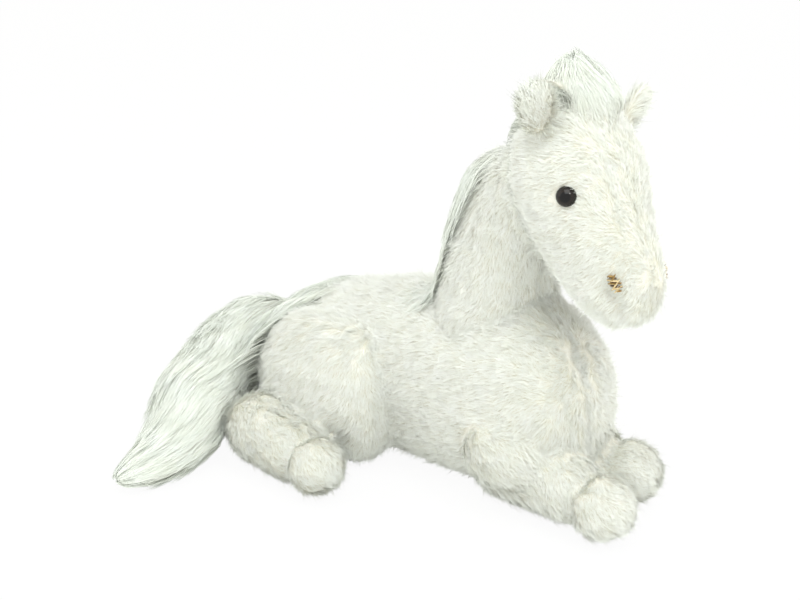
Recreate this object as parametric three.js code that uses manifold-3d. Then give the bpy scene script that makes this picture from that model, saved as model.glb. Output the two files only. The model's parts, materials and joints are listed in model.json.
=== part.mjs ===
import * as THREE from 'three';
import { mergeVertices } from 'three/addons/utils/BufferGeometryUtils.js';
import Module from 'manifold-3d';

// A plush horse lying on its belly, in millimetres. +X is forward, +Y is the horse's left and +Z is up.
// It rests on Z = 0, and the finished group is moved so that its origin is under the middle of its box.

// Sizes of the barrel, which carries everything else
const BARREL_LENGTH = 270;
const BARREL_WIDTH = 105;
const BARREL_HEIGHT = 122;
const BELLY_GUSSET_WIDTH = 50;

// Sizes of the neck and of the mane on its crest
const NECK_LENGTH = 142;
const NECK_WIDTH = 72;
const NECK_DEPTH = 72;
const MANE_WIDTH = 24;
const MANE_HEIGHT = 22;

// Sizes of the head and of what it carries
const HEAD_LENGTH = 138;
const HEAD_WIDTH = 79;
const HEAD_DEPTH = 74;
const FACE_GUSSET_WIDTH = 26;
const EAR_LENGTH = 31;
const EAR_WIDTH = 25;
const EAR_THICKNESS = 11;
const FORELOCK_LENGTH = 36;
const FORELOCK_WIDTH = 24;
const EYE_DIAMETER = 11;
const EYE_HEIGHT = 5.6;
const EYE_RIM = 0.8;
const EYE_SEAT_DEPTH = 4;
const EYE_SHANK_DIAMETER = 3.4;
const EYE_SHANK_LENGTH = 12;
const WASHER_DIAMETER = 15;
const WASHER_THICKNESS = 1.8;
const NOSTRIL_LENGTH = 10;
const NOSTRIL_WIDTH = 6.4;
const NOSTRIL_THICKNESS = 5;
const NOSTRIL_SEAT_DEPTH = 1.4;

// Sizes of the legs
const FORELEG_LENGTH = 110;
const FORELEG_WIDTH = 48;
const FORELEG_STAGGER = 14;
const THIGH_LENGTH = 110;
const THIGH_WIDTH = 70;
const THIGH_HEIGHT = 89;
const SHANK_LENGTH = 99;
const SHANK_WIDTH = 47;

// Sizes of the tail
const TAIL_LENGTH = 196;
const TAIL_WIDTH = 52;
const TAIL_THICKNESS = 50;
const TAIL_ROOT_DIAMETER = 34;

// The plush cover, and the gaps that keep neighbours apart
const COVER_THICKNESS = 7;
const SEAM_GAP = 0.3;
const TURN_CLEARANCE = 0.6;
const FLOOR_CUT = 0.5;
const CUT_REACH = 900;

// Limits of the soft joints, in degrees
const HEAD_TURN_LIMIT = 12;
const EAR_FOLD_LIMIT = 25;
const TAIL_SWING_LIMIT = 70;

// How finely the forms are drawn
const OUTER_SIDES = 14;
const INNER_SIDES = 8;
const CAP_RINGS = 3;
const LATHE_SIDES = 12;

// How far the flat of a many-sided ring lies from its middle, as a share of its corners' distance
const RING_FLAT_SHARE = Math.cos(Math.PI / OUTER_SIDES);

const FORWARD = new THREE.Vector3(1, 0, 0);
const UP = new THREE.Vector3(0, 0, 1);
const LEFT = new THREE.Vector3(0, 1, 0);
const CREST_ANGLE = Math.PI / 2;

const wasm = await Module();
wasm.setup();

const finish = (colour, roughness) => () =>
  new THREE.MeshStandardMaterial({ color: colour, roughness, metalness: 0 });
const plush = finish(0xf3f2ea, 0.95);
const longPile = finish(0xf8f8f3, 0.85);
const stuffing = finish(0xfdfdfa, 1);
const eyePlastic = finish(0x1c1512, 0.12);
const washerPlastic = finish(0xe9e6df, 0.5);
const thread = finish(0x9a7b47, 0.7);

// A closed geometry as a solid that can be joined and cut.
function solidOf(geometry) {
  const bare = geometry.clone();
  bare.deleteAttribute('normal');
  bare.deleteAttribute('uv');
  const merged = mergeVertices(bare);
  const corners = merged.index.array;
  const faces = [];
  for (let i = 0; i < corners.length; i += 3) {
    const face = corners.slice(i, i + 3);
    if (new Set(face).size === 3) faces.push(...face);
  }
  return new wasm.Manifold(
    new wasm.Mesh({
      numProp: 3,
      vertProperties: merged.attributes.position.array,
      triVerts: new Uint32Array(faces),
    }),
  );
}

// The biggest body of a cut solid, without the crumbs that a cut can leave.
function biggestBody(solid) {
  const bodies = solid.decompose();
  bodies.sort((a, b) => b.volume() - a.volume());
  return bodies[0];
}

const model = new THREE.Group();

// Adds a solid to the model as a named mesh.
function addPiece(name, solid, material) {
  const { vertProperties, triVerts } = biggestBody(solid).getMesh();
  const geometry = new THREE.BufferGeometry();
  geometry.setAttribute('position', new THREE.BufferAttribute(vertProperties, 3));
  geometry.setIndex(new THREE.BufferAttribute(triVerts, 1));
  geometry.computeVertexNormals();
  const mesh = new THREE.Mesh(geometry, material());
  mesh.name = name;
  model.add(mesh);
}

// Points given as shares of one length, counted from a start point.
function pointsFrom(start, length, rowsOfShares) {
  return rowsOfShares.map(([along, across, up]) =>
    new THREE.Vector3(along, across, up).multiplyScalar(length).add(start),
  );
}

// A turn about a line through a point.
function turnAbout(pivot, axis, degrees) {
  const radians = THREE.MathUtils.degToRad(degrees);
  return new THREE.Matrix4()
    .makeTranslation(pivot.x, pivot.y, pivot.z)
    .multiply(new THREE.Matrix4().makeRotationAxis(axis, radians))
    .multiply(new THREE.Matrix4().makeTranslation(-pivot.x, -pivot.y, -pivot.z));
}

// A stuffed form: oval rings on a curved spine, closed by a rounded cap at each end.
// Angle 0 on a ring is its side, and a quarter turn on is its up side.
class StuffedForm {
  constructor({ spine, halfWidths, halfHeights, lateral, capShares, middleRings, capPower = 2 }) {
    this.spine = new THREE.CatmullRomCurve3(spine, false, 'catmullrom');
    const girths = halfWidths.map((halfWidth, i) => new THREE.Vector3(halfWidth, halfHeights[i], 0));
    this.girths = new THREE.CatmullRomCurve3(girths, false, 'catmullrom');
    Object.assign(this, { lateral, capShares, middleRings, capPower });
  }

  frameAt(u) {
    const along = this.spine.getTangent(u);
    const up = new THREE.Vector3().crossVectors(along, this.lateral).normalize();
    const side = new THREE.Vector3().crossVectors(up, along).normalize();
    return { centre: this.spine.getPoint(u), along, side, up };
  }

  // How deep a place lies in an end cap: 0 outside the caps, 1 or -1 at the poles.
  capDepth(u) {
    const [startShare, endShare] = this.capShares;
    if (u < startShare) return 1 - u / startShare;
    if (u > 1 - endShare) return -(1 - (1 - u) / endShare);
    return 0;
  }

  ringPoint(u, angle, inset) {
    const { centre, along, side, up } = this.frameAt(u);
    const girth = this.girths.getPoint(u);
    const depth = this.capDepth(u);
    const shrink = Math.pow(1 - Math.pow(Math.abs(depth), this.capPower), 1 / this.capPower);
    return centre
      .addScaledVector(along, inset * depth)
      .addScaledVector(side, (girth.x - inset) * shrink * Math.cos(angle))
      .addScaledVector(up, (girth.y - inset) * shrink * Math.sin(angle));
  }

  ringPlaces() {
    const [startShare, endShare] = this.capShares;
    const capPlaces = Array.from({ length: CAP_RINGS }, (_, i) =>
      1 - Math.cos(((i + 1) / CAP_RINGS) * CREST_ANGLE),
    );
    const middle = 1 - startShare - endShare;
    return [
      ...capPlaces.map((place) => place * startShare),
      ...Array.from({ length: this.middleRings }, (_, i) =>
        startShare + (middle * (i + 1)) / (this.middleRings + 1),
      ),
      ...capPlaces.reverse().map((place) => 1 - place * endShare),
    ];
  }

  geometry(inset, sides) {
    const places = this.ringPlaces();
    const points = [this.ringPoint(0, 0, inset)];
    for (const u of places) {
      for (let k = 0; k < sides; k++) {
        points.push(this.ringPoint(u, (k / sides) * 2 * Math.PI, inset));
      }
    }
    points.push(this.ringPoint(1, 0, inset));
    const last = points.length - 1;
    const at = (ring, k) => 1 + ring * sides + (k % sides);
    const faces = [];
    for (let k = 0; k < sides; k++) {
      faces.push(0, at(0, k + 1), at(0, k));
      faces.push(last, at(places.length - 1, k), at(places.length - 1, k + 1));
      for (let ring = 0; ring < places.length - 1; ring++) {
        faces.push(at(ring, k), at(ring, k + 1), at(ring + 1, k + 1));
        faces.push(at(ring, k), at(ring + 1, k + 1), at(ring + 1, k));
      }
    }
    return new THREE.BufferGeometry().setFromPoints(points).setIndex(faces);
  }

  solid(inset, sides = OUTER_SIDES, matrix = new THREE.Matrix4()) {
    return solidOf(this.geometry(inset, sides).applyMatrix4(matrix));
  }

  // The cover as a closed hollow wall.
  shell(sides = OUTER_SIDES) {
    return this.solid(0, sides).subtract(this.solid(COVER_THICKNESS, INNER_SIDES));
  }

  // The space inside the cover, less one gap.
  inside() {
    return this.solid(COVER_THICKNESS + SEAM_GAP, INNER_SIDES);
  }

  // The form with a gap round it, as its neighbours see it.
  grown(gap = SEAM_GAP, sides = OUTER_SIDES, matrix = undefined) {
    return this.solid(-gap, sides, matrix);
  }

  // A point of the surface with its outward direction.
  surface(u, angle, lift = 0) {
    const step = 0.01;
    const point = this.ringPoint(u, angle, 0);
    const alongEdge = this.ringPoint(u + step, angle, 0).sub(this.ringPoint(u - step, angle, 0));
    const roundEdge = this.ringPoint(u, angle + step, 0).sub(this.ringPoint(u, angle - step, 0));
    const outward = new THREE.Vector3().crossVectors(roundEdge, alongEdge).normalize();
    return { point: point.addScaledVector(outward, lift), outward };
  }
}

// Everything on one side of a plane, which lies half a seam gap past a point.
function halfSpace(point, direction) {
  const box = new THREE.BoxGeometry(CUT_REACH, CUT_REACH, CUT_REACH);
  const middle = point.clone().addScaledVector(direction, (CUT_REACH + SEAM_GAP) / 2);
  const turn = new THREE.Quaternion().setFromUnitVectors(UP, direction);
  return solidOf(box.applyQuaternion(turn).translate(middle.x, middle.y, middle.z));
}

// What stands above the floor, pressed flat where it rests.
const aboveFloor = halfSpace(new THREE.Vector3(0, 0, -SEAM_GAP / 2), UP);

// Cuts a shell in two by a plane, as its seam does.
function panels(shell, point, direction) {
  const front = shell.intersect(halfSpace(point, direction));
  const back = shell.intersect(halfSpace(point, direction.clone().negate()));
  return [front, back];
}

// Cuts a piece clear of an obstacle that swings past it.
function clearOfSwing(piece, obstacle, pivot, axis, degrees) {
  return degrees.reduce(
    (left, angle) => left.subtract(obstacle(turnAbout(pivot, axis, angle))),
    piece,
  );
}

const SIDES = [
  { side: 'left', sign: 1 },
  { side: 'right', sign: -1 },
];

// The barrel, lying on the floor. Rows: along the length, under side, upper side, width.
const barrelShares = [
  [0.0, 0.14, 0.46, 0.5],
  [0.12, 0.03, 0.64, 0.8],
  [0.27, 0.0, 0.78, 0.98],
  [0.45, 0.0, 0.89, 1.0],
  [0.62, 0.0, 0.97, 0.99],
  [0.8, 0.0, 1.04, 0.96],
  [1.0, 0.14, 1.06, 0.92],
];
const barrel = new StuffedForm({
  spine: barrelShares.map(([along, under, upper]) => {
    const rise = under + ((upper - under) / 2) * RING_FLAT_SHARE;
    return new THREE.Vector3(along * BARREL_LENGTH, 0, rise * BARREL_HEIGHT - FLOOR_CUT);
  }),
  halfWidths: barrelShares.map((row) => (row[3] * BARREL_WIDTH) / 2),
  halfHeights: barrelShares.map((row) => ((row[2] - row[1]) * BARREL_HEIGHT) / 2),
  lateral: LEFT,
  capShares: [0.16, 0.16],
  middleRings: 6,
  capPower: 2.8,
});

// The neck, rising from the barrel's front. Rows: spine along, across, up, then width and depth.
const neckShares = [
  [0.0, 0, 0.0, 1.16, 1.28],
  [0.03, 0, 0.28, 1.05, 1.04],
  [0.08, 0, 0.56, 0.96, 0.88],
  [0.18, 0, 0.82, 0.87, 0.8],
  [0.26, 0, 1.0, 0.74, 0.7],
];
const neckFootShare = { along: 0.714, up: 0.56 };
const neckFoot = new THREE.Vector3(neckFootShare.along * BARREL_LENGTH, 0, neckFootShare.up * BARREL_HEIGHT);
const neck = new StuffedForm({
  spine: pointsFrom(neckFoot, NECK_LENGTH, neckShares),
  halfWidths: neckShares.map((row) => (row[3] * NECK_WIDTH) / 2),
  halfHeights: neckShares.map((row) => (row[4] * NECK_DEPTH) / 2),
  lateral: LEFT,
  capShares: [0.1, 0.2],
  middleRings: 3,
});

// The line that the head turns about: the neck's spine near its top.
const HEAD_TURN_PLACE_SHARE = 0.78;
const headSeat = neck.frameAt(HEAD_TURN_PLACE_SHARE);
const headTurn = { pivot: headSeat.centre, axis: headSeat.along };

// The ring angle that lies some degrees above one side of a form.
function sideAngle(sign, degreesAbove) {
  const rise = THREE.MathUtils.degToRad(degreesAbove);
  return sign > 0 ? rise : Math.PI - rise;
}

// The head, from the poll down to the muzzle, held a little tilted. Rows as for the neck.
const headShares = [
  [0.0, 0.0, 0.0, 0.92, 0.94],
  [0.1, -0.03, -0.2, 1.0, 1.0],
  [0.18, -0.055, -0.36, 1.02, 1.02],
  [0.3, -0.076, -0.54, 0.82, 0.84],
  [0.42, -0.09, -0.69, 0.7, 0.76],
  [0.53, -0.1, -0.84, 0.64, 0.7],
];
const HEAD_ROLL = 10;
const HEAD_YAW = -4;
const headLeft = LEFT.clone()
  .applyAxisAngle(FORWARD, THREE.MathUtils.degToRad(-HEAD_ROLL))
  .applyAxisAngle(UP, THREE.MathUtils.degToRad(HEAD_YAW));
const pollRiseShares = new THREE.Vector3(0.06, 0.056, 0.37);
const poll = headTurn.pivot.clone().addScaledVector(pollRiseShares, HEAD_LENGTH);
const head = new StuffedForm({
  spine: pointsFrom(poll, HEAD_LENGTH, headShares),
  halfWidths: headShares.map((row) => (row[3] * HEAD_WIDTH) / 2),
  halfHeights: headShares.map((row) => (row[4] * HEAD_DEPTH) / 2),
  lateral: headLeft,
  capShares: [0.28, 0.26],
  middleRings: 4,
});

// A forearm on the floor, from the elbow forward to the hoof. Rows as for the neck.
const forearmShares = [
  [0.0, 0.0, 0.24, 1.0, 1.0],
  [0.22, 0.0, 0.23, 1.0, 1.0],
  [0.5, -0.01, 0.22, 0.94, 0.98],
  [0.73, 0.01, 0.2, 0.84, 0.84],
  [1.0, 0.02, 0.194, 0.98, 0.93],
];
// The upper arm, from the elbow up into the shoulder.
const upperArmShares = [
  [0.24, 0.09, 0.18, 0.98, 1.04],
  [0.28, 0.11, 0.36, 1.06, 1.12],
  [0.36, 0.13, 0.58, 0.98, 1.04],
];
const elbowShare = { along: 0.757, across: 0.45 };
function forelegForms({ side, sign }) {
  const stagger = side === 'left' ? FORELEG_STAGGER : 0;
  const elbow = new THREE.Vector3(
    elbowShare.along * BARREL_LENGTH - stagger,
    sign * elbowShare.across * FORELEG_WIDTH,
    0,
  );
  const form = (rows, capShares, middleRings) =>
    new StuffedForm({
      spine: pointsFrom(
        elbow,
        FORELEG_LENGTH,
        rows.map(([along, across, up]) => [along, sign * across, up]),
      ),
      halfWidths: rows.map((row) => (row[3] * FORELEG_WIDTH) / 2),
      halfHeights: rows.map((row) => (row[4] * FORELEG_WIDTH) / 2),
      lateral: LEFT,
      capShares,
      middleRings,
    });
  return [form(forearmShares, [0.2, 0.19], 3), form(upperArmShares, [0.35, 0.35], 1)];
}

// A haunch: a round pad on the barrel's flank. Rows: along, across, up, width, height.
const thighShares = [
  [0.0, 0.4, 0.48, 0.76, 0.8],
  [0.34, 0.54, 0.5, 1.0, 1.0],
  [0.68, 0.56, 0.51, 1.0, 1.0],
  [1.0, 0.5, 0.5, 0.88, 0.94],
];
const thighRearShare = { along: 0.165, across: 0.08 };
function thighForm({ sign }) {
  const rear = new THREE.Vector3(
    thighRearShare.along * BARREL_LENGTH,
    sign * thighRearShare.across * BARREL_WIDTH,
    0,
  );
  return new StuffedForm({
    spine: thighShares.map(([along, across, up]) =>
      new THREE.Vector3(
        rear.x + along * THIGH_LENGTH,
        rear.y + sign * across * THIGH_WIDTH,
        up * THIGH_HEIGHT,
      ),
    ),
    halfWidths: thighShares.map((row) => (row[3] * THIGH_WIDTH) / 2),
    halfHeights: thighShares.map((row) => (row[4] * THIGH_HEIGHT) / 2),
    lateral: LEFT,
    capShares: [0.32, 0.3],
    middleRings: 2,
    capPower: 2.8,
  });
}

// A hind leg below the thigh: the hock lies at the back and the hoof points forward. Rows as for the neck.
const shankShares = [
  [0.0, 0.0, 0.27, 0.94, 0.94],
  [0.25, -0.01, 0.25, 1.0, 1.0],
  [0.5, 0.02, 0.23, 0.9, 0.92],
  [0.72, 0.04, 0.21, 0.84, 0.84],
  [1.0, 0.05, 0.2, 0.92, 0.9],
];
const hockShare = { along: 0.235, across: 0.45 };
function shankForm({ sign }) {
  const hock = new THREE.Vector3(
    hockShare.along * BARREL_LENGTH,
    sign * (hockShare.across * BARREL_WIDTH + SHANK_WIDTH),
    0,
  );
  return new StuffedForm({
    spine: pointsFrom(
      hock,
      SHANK_LENGTH,
      shankShares.map(([along, across, up]) => [along, sign * across, up]),
    ),
    halfWidths: shankShares.map((row) => (row[3] * SHANK_WIDTH) / 2),
    halfHeights: shankShares.map((row) => (row[4] * SHANK_WIDTH) / 2),
    lateral: LEFT,
    capShares: [0.22, 0.22],
    middleRings: 3,
  });
}

// The tail, swept round to the horse's right with its tip on the floor. Rows as for the neck.
const tailShares = [
  [-0.01, 0.0, 0.0, 0.62, 0.62],
  [-0.035, -0.12, 0.0, 0.98, 0.88],
  [0.005, -0.28, -0.03, 1.04, 1.0],
  [0.08, -0.43, -0.07, 1.0, 1.14],
  [0.16, -0.57, -0.13, 0.84, 1.2],
  [0.23, -0.72, -0.185, 0.6, 1.04],
  [0.235, -0.93, -0.216, 0.38, 0.44],
];
const tailRootShare = { along: 0.042, up: 0.42 };
const tailRoot = new THREE.Vector3(tailRootShare.along * BARREL_LENGTH, 0, tailRootShare.up * BARREL_HEIGHT);
const tail = new StuffedForm({
  spine: pointsFrom(tailRoot, TAIL_LENGTH, tailShares),
  halfWidths: tailShares.map((row) => (row[3] * TAIL_WIDTH) / 2),
  halfHeights: tailShares.map((row) => (row[4] * TAIL_THICKNESS) / 2),
  lateral: UP,
  capShares: [0.06, 0.12],
  middleRings: 6,
});

// The round root of the tail, set into the rump.
function tailBall(growth) {
  const ball = new THREE.SphereGeometry(TAIL_ROOT_DIAMETER / 2 + growth, OUTER_SIDES, INNER_SIDES);
  return solidOf(ball.rotateX(CREST_ANGLE).translate(tailRoot.x, tailRoot.y, tailRoot.z));
}

// The mane: a ridge of long pile on the crest, from the withers to behind the poll.
// Rows: place on the neck, width, height.
const maneShares = [
  [0.22, 0.6, 0.5],
  [0.4, 1.0, 0.9],
  [0.56, 1.0, 1.0],
  [0.72, 1.0, 1.0],
  [0.86, 0.8, 0.8],
];
const mane = new StuffedForm({
  spine: maneShares.map(([place]) => neck.surface(place, CREST_ANGLE).point),
  halfWidths: maneShares.map((row) => (row[1] * MANE_WIDTH) / 2),
  halfHeights: maneShares.map((row) => (row[2] * MANE_HEIGHT) / 2),
  lateral: LEFT,
  capShares: [0.2, 0.2],
  middleRings: 3,
});

// The forelock: two locks that rise between the ears and sweep back to the right. Rows as for the neck.
const frontLockShares = [
  [0.06, 0.0, -0.1, 1.0, 0.8],
  [-0.04, -0.06, 0.24, 0.9, 0.7],
  [-0.24, -0.22, 0.54, 0.6, 0.5],
  [-0.56, -0.4, 0.75, 0.26, 0.22],
];
const sideLockShares = [
  [-0.1, -0.1, -0.1, 1.0, 0.8],
  [-0.24, -0.26, 0.26, 0.9, 0.66],
  [-0.5, -0.62, 0.42, 0.7, 0.5],
  [-0.8, -1.06, 0.4, 0.26, 0.22],
];
const FORELOCK_PLACE_SHARE = 0.13;
const forelockSeat = head.surface(FORELOCK_PLACE_SHARE, CREST_ANGLE).point;
function lockForm(rows) {
  return new StuffedForm({
    spine: pointsFrom(forelockSeat, FORELOCK_LENGTH, rows),
    halfWidths: rows.map((row) => (row[3] * FORELOCK_WIDTH) / 2),
    halfHeights: rows.map((row) => (row[4] * FORELOCK_WIDTH) / 2),
    lateral: LEFT,
    capShares: [0.15, 0.2],
    middleRings: 2,
  });
}
const forelockForms = [frontLockShares, sideLockShares].map(lockForm);

// An ear: a flat leaf that stands out from the side of the poll. Rows as for the neck, widths then thickness.
const earShares = [
  [0.0, 0, 0.0, 0.8, 0.9],
  [0.06, 0.16, 0.34, 1.0, 1.0],
  [0.1, 0.32, 0.66, 0.94, 0.9],
  [0.1, 0.44, 0.94, 0.5, 0.6],
];
const EAR_FACING = new THREE.Vector3(-0.35, 0.94, 0);
const EAR_PLACE_SHARE = 0.17;
const EAR_RISES = { left: 10, right: 15 };
const headUp = new THREE.Vector3().crossVectors(FORWARD, headLeft).normalize();
function earForm({ side, sign }) {
  const root = head.surface(EAR_PLACE_SHARE, sideAngle(sign, EAR_RISES[side])).point;
  const spine = earShares.map(([along, across, up]) =>
    new THREE.Vector3(along * EAR_LENGTH, 0, 0)
      .addScaledVector(headLeft, sign * across * EAR_LENGTH)
      .addScaledVector(headUp, up * EAR_LENGTH)
      .add(root),
  );
  return new StuffedForm({
    spine,
    halfWidths: earShares.map((row) => (row[3] * EAR_WIDTH) / 2),
    halfHeights: earShares.map((row) => (row[4] * EAR_THICKNESS) / 2),
    lateral: new THREE.Vector3(EAR_FACING.x, sign * EAR_FACING.y, 0).normalize(),
    capShares: [0.12, 0.3],
    middleRings: 3,
  });
}

// The solids of several forms as one.
function joined(solids) {
  return solids.reduce((whole, solid) => whole.add(solid));
}

// A solid without its neighbours and without what would lie under the floor.
function clearOf(solid, neighbours) {
  return neighbours.reduce((left, neighbour) => left.subtract(neighbour), solid.intersect(aboveFloor));
}

// The cover and the filling of a limb that is one or more forms.
function stuffedLimb(forms, neighbours) {
  const outside = joined(forms.map((form) => form.solid(0)));
  const hollow = joined(forms.map((form) => form.solid(COVER_THICKNESS, INNER_SIDES)));
  return {
    cover: clearOf(outside.subtract(hollow), neighbours),
    filling: clearOf(joined(forms.map((form) => form.inside())), neighbours),
  };
}

// The body's cover: two side panels that meet along the back, and a leaf-shaped gusset under the belly.
const GUSSET_START_SHARE = 0.12;
const GUSSET_END_SHARE = 0.86;
const GUSSET_RISE_SHARE = 0.3;
function bellyLeaf(growth) {
  const halfLength = ((GUSSET_END_SHARE - GUSSET_START_SHARE) * BARREL_LENGTH) / 2;
  const middle = ((GUSSET_END_SHARE + GUSSET_START_SHARE) * BARREL_LENGTH) / 2;
  const leaf = new THREE.Shape();
  leaf.absellipse(middle, 0, halfLength + growth, BELLY_GUSSET_WIDTH / 2 + growth, 0, 2 * Math.PI);
  const block = new THREE.ExtrudeGeometry(leaf, {
    depth: 2 * GUSSET_RISE_SHARE * BARREL_HEIGHT,
    bevelEnabled: false,
    curveSegments: OUTER_SIDES,
  });
  return solidOf(block.translate(0, 0, -GUSSET_RISE_SHARE * BARREL_HEIGHT));
}

function addBody() {
  const neckOpening = neck.solid(COVER_THICKNESS, INNER_SIDES);
  const shell = clearOf(barrel.shell(), [neckOpening, tailBall(TURN_CLEARANCE)]);
  const sides = shell.subtract(bellyLeaf(SEAM_GAP));
  const [left, right] = panels(sides, new THREE.Vector3(), LEFT);
  addPiece('body_side_panel_left', left, plush);
  addPiece('body_side_panel_right', right, plush);
  addPiece('belly_gusset', shell.intersect(bellyLeaf(0)), plush);
  addPiece('body_filling', clearOf(barrel.inside(), [tailBall(TURN_CLEARANCE)]), stuffing);
}

// The neck's cover and filling. The filling goes on through the opening in the body's cover.
function addNeck() {
  const [left, right] = panels(neck.shell().subtract(barrel.grown()), new THREE.Vector3(), LEFT);
  addPiece('neck_panel_left', left, plush);
  addPiece('neck_panel_right', right, plush);
  addPiece('neck_filling', neck.inside().subtract(barrel.solid(COVER_THICKNESS, INNER_SIDES)), stuffing);
}

// A form as the head sees it while it turns on the neck.
const HEAD_TURN_STEPS = [0, -HEAD_TURN_LIMIT, HEAD_TURN_LIMIT];
function clearOfHeadTurn(piece, form) {
  const obstacle = (matrix) => form.grown(TURN_CLEARANCE, OUTER_SIDES, matrix);
  return clearOfSwing(piece, obstacle, headTurn.pivot, headTurn.axis, HEAD_TURN_STEPS);
}

function addMane() {
  const onNeck = clearOf(mane.solid(0, INNER_SIDES), [neck.grown(), barrel.grown()]);
  addPiece('mane', clearOfHeadTurn(onNeck, head), longPile);
}

// A turned solid set on a surface. Rows: radius and height above the seat, from below upwards.
function turnedSolid(rows, seat, outward) {
  const profile = rows.map(([radius, height]) => new THREE.Vector2(radius, height));
  const turned = new THREE.LatheGeometry(profile, LATHE_SIDES);
  turned.applyQuaternion(new THREE.Quaternion().setFromUnitVectors(LEFT, outward));
  return solidOf(turned.translate(seat.x, seat.y, seat.z));
}

// A cylinder between two heights over a seat.
function peg(radius, low, high, seat, outward) {
  const rows = [
    [0, low],
    [radius, low],
    [radius, high],
    [0, high],
  ];
  return turnedSolid(rows, seat, outward);
}

// An eye: a low dome with a rim and a shank that goes through the cover, where a washer locks it.
const EYE_PLACE_SHARE = 0.45;
const EYE_RISE = 25;
function eyeSolids({ sign }) {
  const { point, outward } = head.surface(EYE_PLACE_SHARE, sideAngle(sign, EYE_RISE));
  const seat = point.addScaledVector(outward, -EYE_SEAT_DEPTH);
  const radius = EYE_DIAMETER / 2;
  const shankRadius = EYE_SHANK_DIAMETER / 2;
  const domeSteps = [0, 0.25, 0.5, 0.75];
  const dome = domeSteps.map((step) => [
    radius * Math.cos(step * CREST_ANGLE),
    EYE_RIM + (EYE_HEIGHT - EYE_RIM) * Math.sin(step * CREST_ANGLE),
  ]);
  const rows = [[0, -EYE_SHANK_LENGTH], [shankRadius, -EYE_SHANK_LENGTH], [shankRadius, 0]];
  rows.push([radius - EYE_RIM, 0], ...dome, [0, EYE_HEIGHT]);
  const washerTop = EYE_SEAT_DEPTH - COVER_THICKNESS;
  const washerFoot = washerTop - WASHER_THICKNESS;
  const bore = shankRadius + SEAM_GAP;
  const washerRadius = WASHER_DIAMETER / 2;
  const room = [
    peg(radius + SEAM_GAP, -SEAM_GAP, COVER_THICKNESS, seat, outward),
    peg(bore, -EYE_SHANK_LENGTH - SEAM_GAP, 0, seat, outward),
    peg(washerRadius + SEAM_GAP, washerFoot - SEAM_GAP, washerTop + SEAM_GAP, seat, outward),
  ];
  return {
    eye: turnedSolid(rows, seat, outward),
    washer: peg(washerRadius, washerFoot, washerTop, seat, outward).subtract(
      peg(bore, washerFoot - WASHER_THICKNESS, washerTop + WASHER_THICKNESS, seat, outward),
    ),
    room: joined(room),
  };
}

// A nostril: a raised oval of stitches, sunk a little into the muzzle.
const NOSTRIL_PLACE_SHARE = 0.805;
const NOSTRIL_RISE = 29;
function nostrilSolid({ sign }, growth) {
  const { point, outward } = head.surface(NOSTRIL_PLACE_SHARE, sideAngle(sign, NOSTRIL_RISE));
  const seat = point.addScaledVector(outward, -NOSTRIL_SEAT_DEPTH);
  const spineLine = head.frameAt(NOSTRIL_PLACE_SHARE).along;
  const across = new THREE.Vector3().crossVectors(outward, spineLine).normalize();
  const along = new THREE.Vector3().crossVectors(across, outward);
  const place = new THREE.Matrix4().makeBasis(along, across, outward).setPosition(seat);
  const oval = new THREE.SphereGeometry(1, INNER_SIDES, INNER_SIDES / 2);
  oval.scale(NOSTRIL_LENGTH / 2 + growth, NOSTRIL_WIDTH / 2 + growth, NOSTRIL_THICKNESS / 2 + growth);
  return solidOf(oval.applyMatrix4(place));
}

// The middle plane of the head, and the band of it that the face gusset takes up on the forehead's side.
const headEnds = [head.spine.getPoint(0), head.spine.getPoint(1)];
const headLine = headEnds[1].clone().sub(headEnds[0]).normalize();
const headAcross = headLeft.clone().addScaledVector(headLine, -headLeft.dot(headLine)).normalize();
const headMiddle = head.frameAt(0.5);
function faceBand(growth) {
  const reach = (FACE_GUSSET_WIDTH - SEAM_GAP) / 2 + growth;
  const [leftLimit, rightLimit] = SIDES.map(({ sign }) => {
    const edge = headEnds[0].clone().addScaledVector(headAcross, sign * reach);
    return halfSpace(edge, headAcross.clone().multiplyScalar(sign));
  });
  const foot = headMiddle.centre.clone().addScaledVector(headMiddle.up, -growth);
  return halfSpace(foot, headMiddle.up).subtract(leftLimit).subtract(rightLimit);
}

function addHead() {
  const eyes = SIDES.map(eyeSolids);
  const rooms = [...eyes.map(({ room }) => room), ...SIDES.map((side) => nostrilSolid(side, SEAM_GAP))];
  const clearOfRest = (solid) => clearOfHeadTurn(clearOf(solid, rooms), neck);
  const shell = clearOfRest(head.shell());
  const sides = shell.subtract(faceBand(SEAM_GAP));
  const [left, right] = panels(sides, headEnds[0], headAcross);
  addPiece('head_side_panel_left', left, plush);
  addPiece('head_side_panel_right', right, plush);
  addPiece('face_gusset', shell.intersect(faceBand(0)), plush);
  addPiece('head_filling', clearOfRest(head.inside()), stuffing);
  SIDES.forEach((side, i) => {
    addPiece(`eye_${side.side}`, eyes[i].eye, eyePlastic);
    addPiece(`eye_washer_${side.side}`, eyes[i].washer, washerPlastic);
    addPiece(`nostril_${side.side}`, nostrilSolid(side, 0), thread);
  });
}

// The ears fold at their root seams, so they and the forelock between them keep clear of each other.
const EAR_FOLD_TWELFTHS = [-12, -8, -4, 0, 2, 4, 5, 6, 7, 8, 9, 10, 11, 12];
const EAR_FOLD_STEPS = EAR_FOLD_TWELFTHS.map((twelfths) => (twelfths / 12) * EAR_FOLD_LIMIT);
function earFold(ear) {
  const { centre, side } = ear.frameAt(0);
  return { pivot: centre, axis: side };
}

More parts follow.
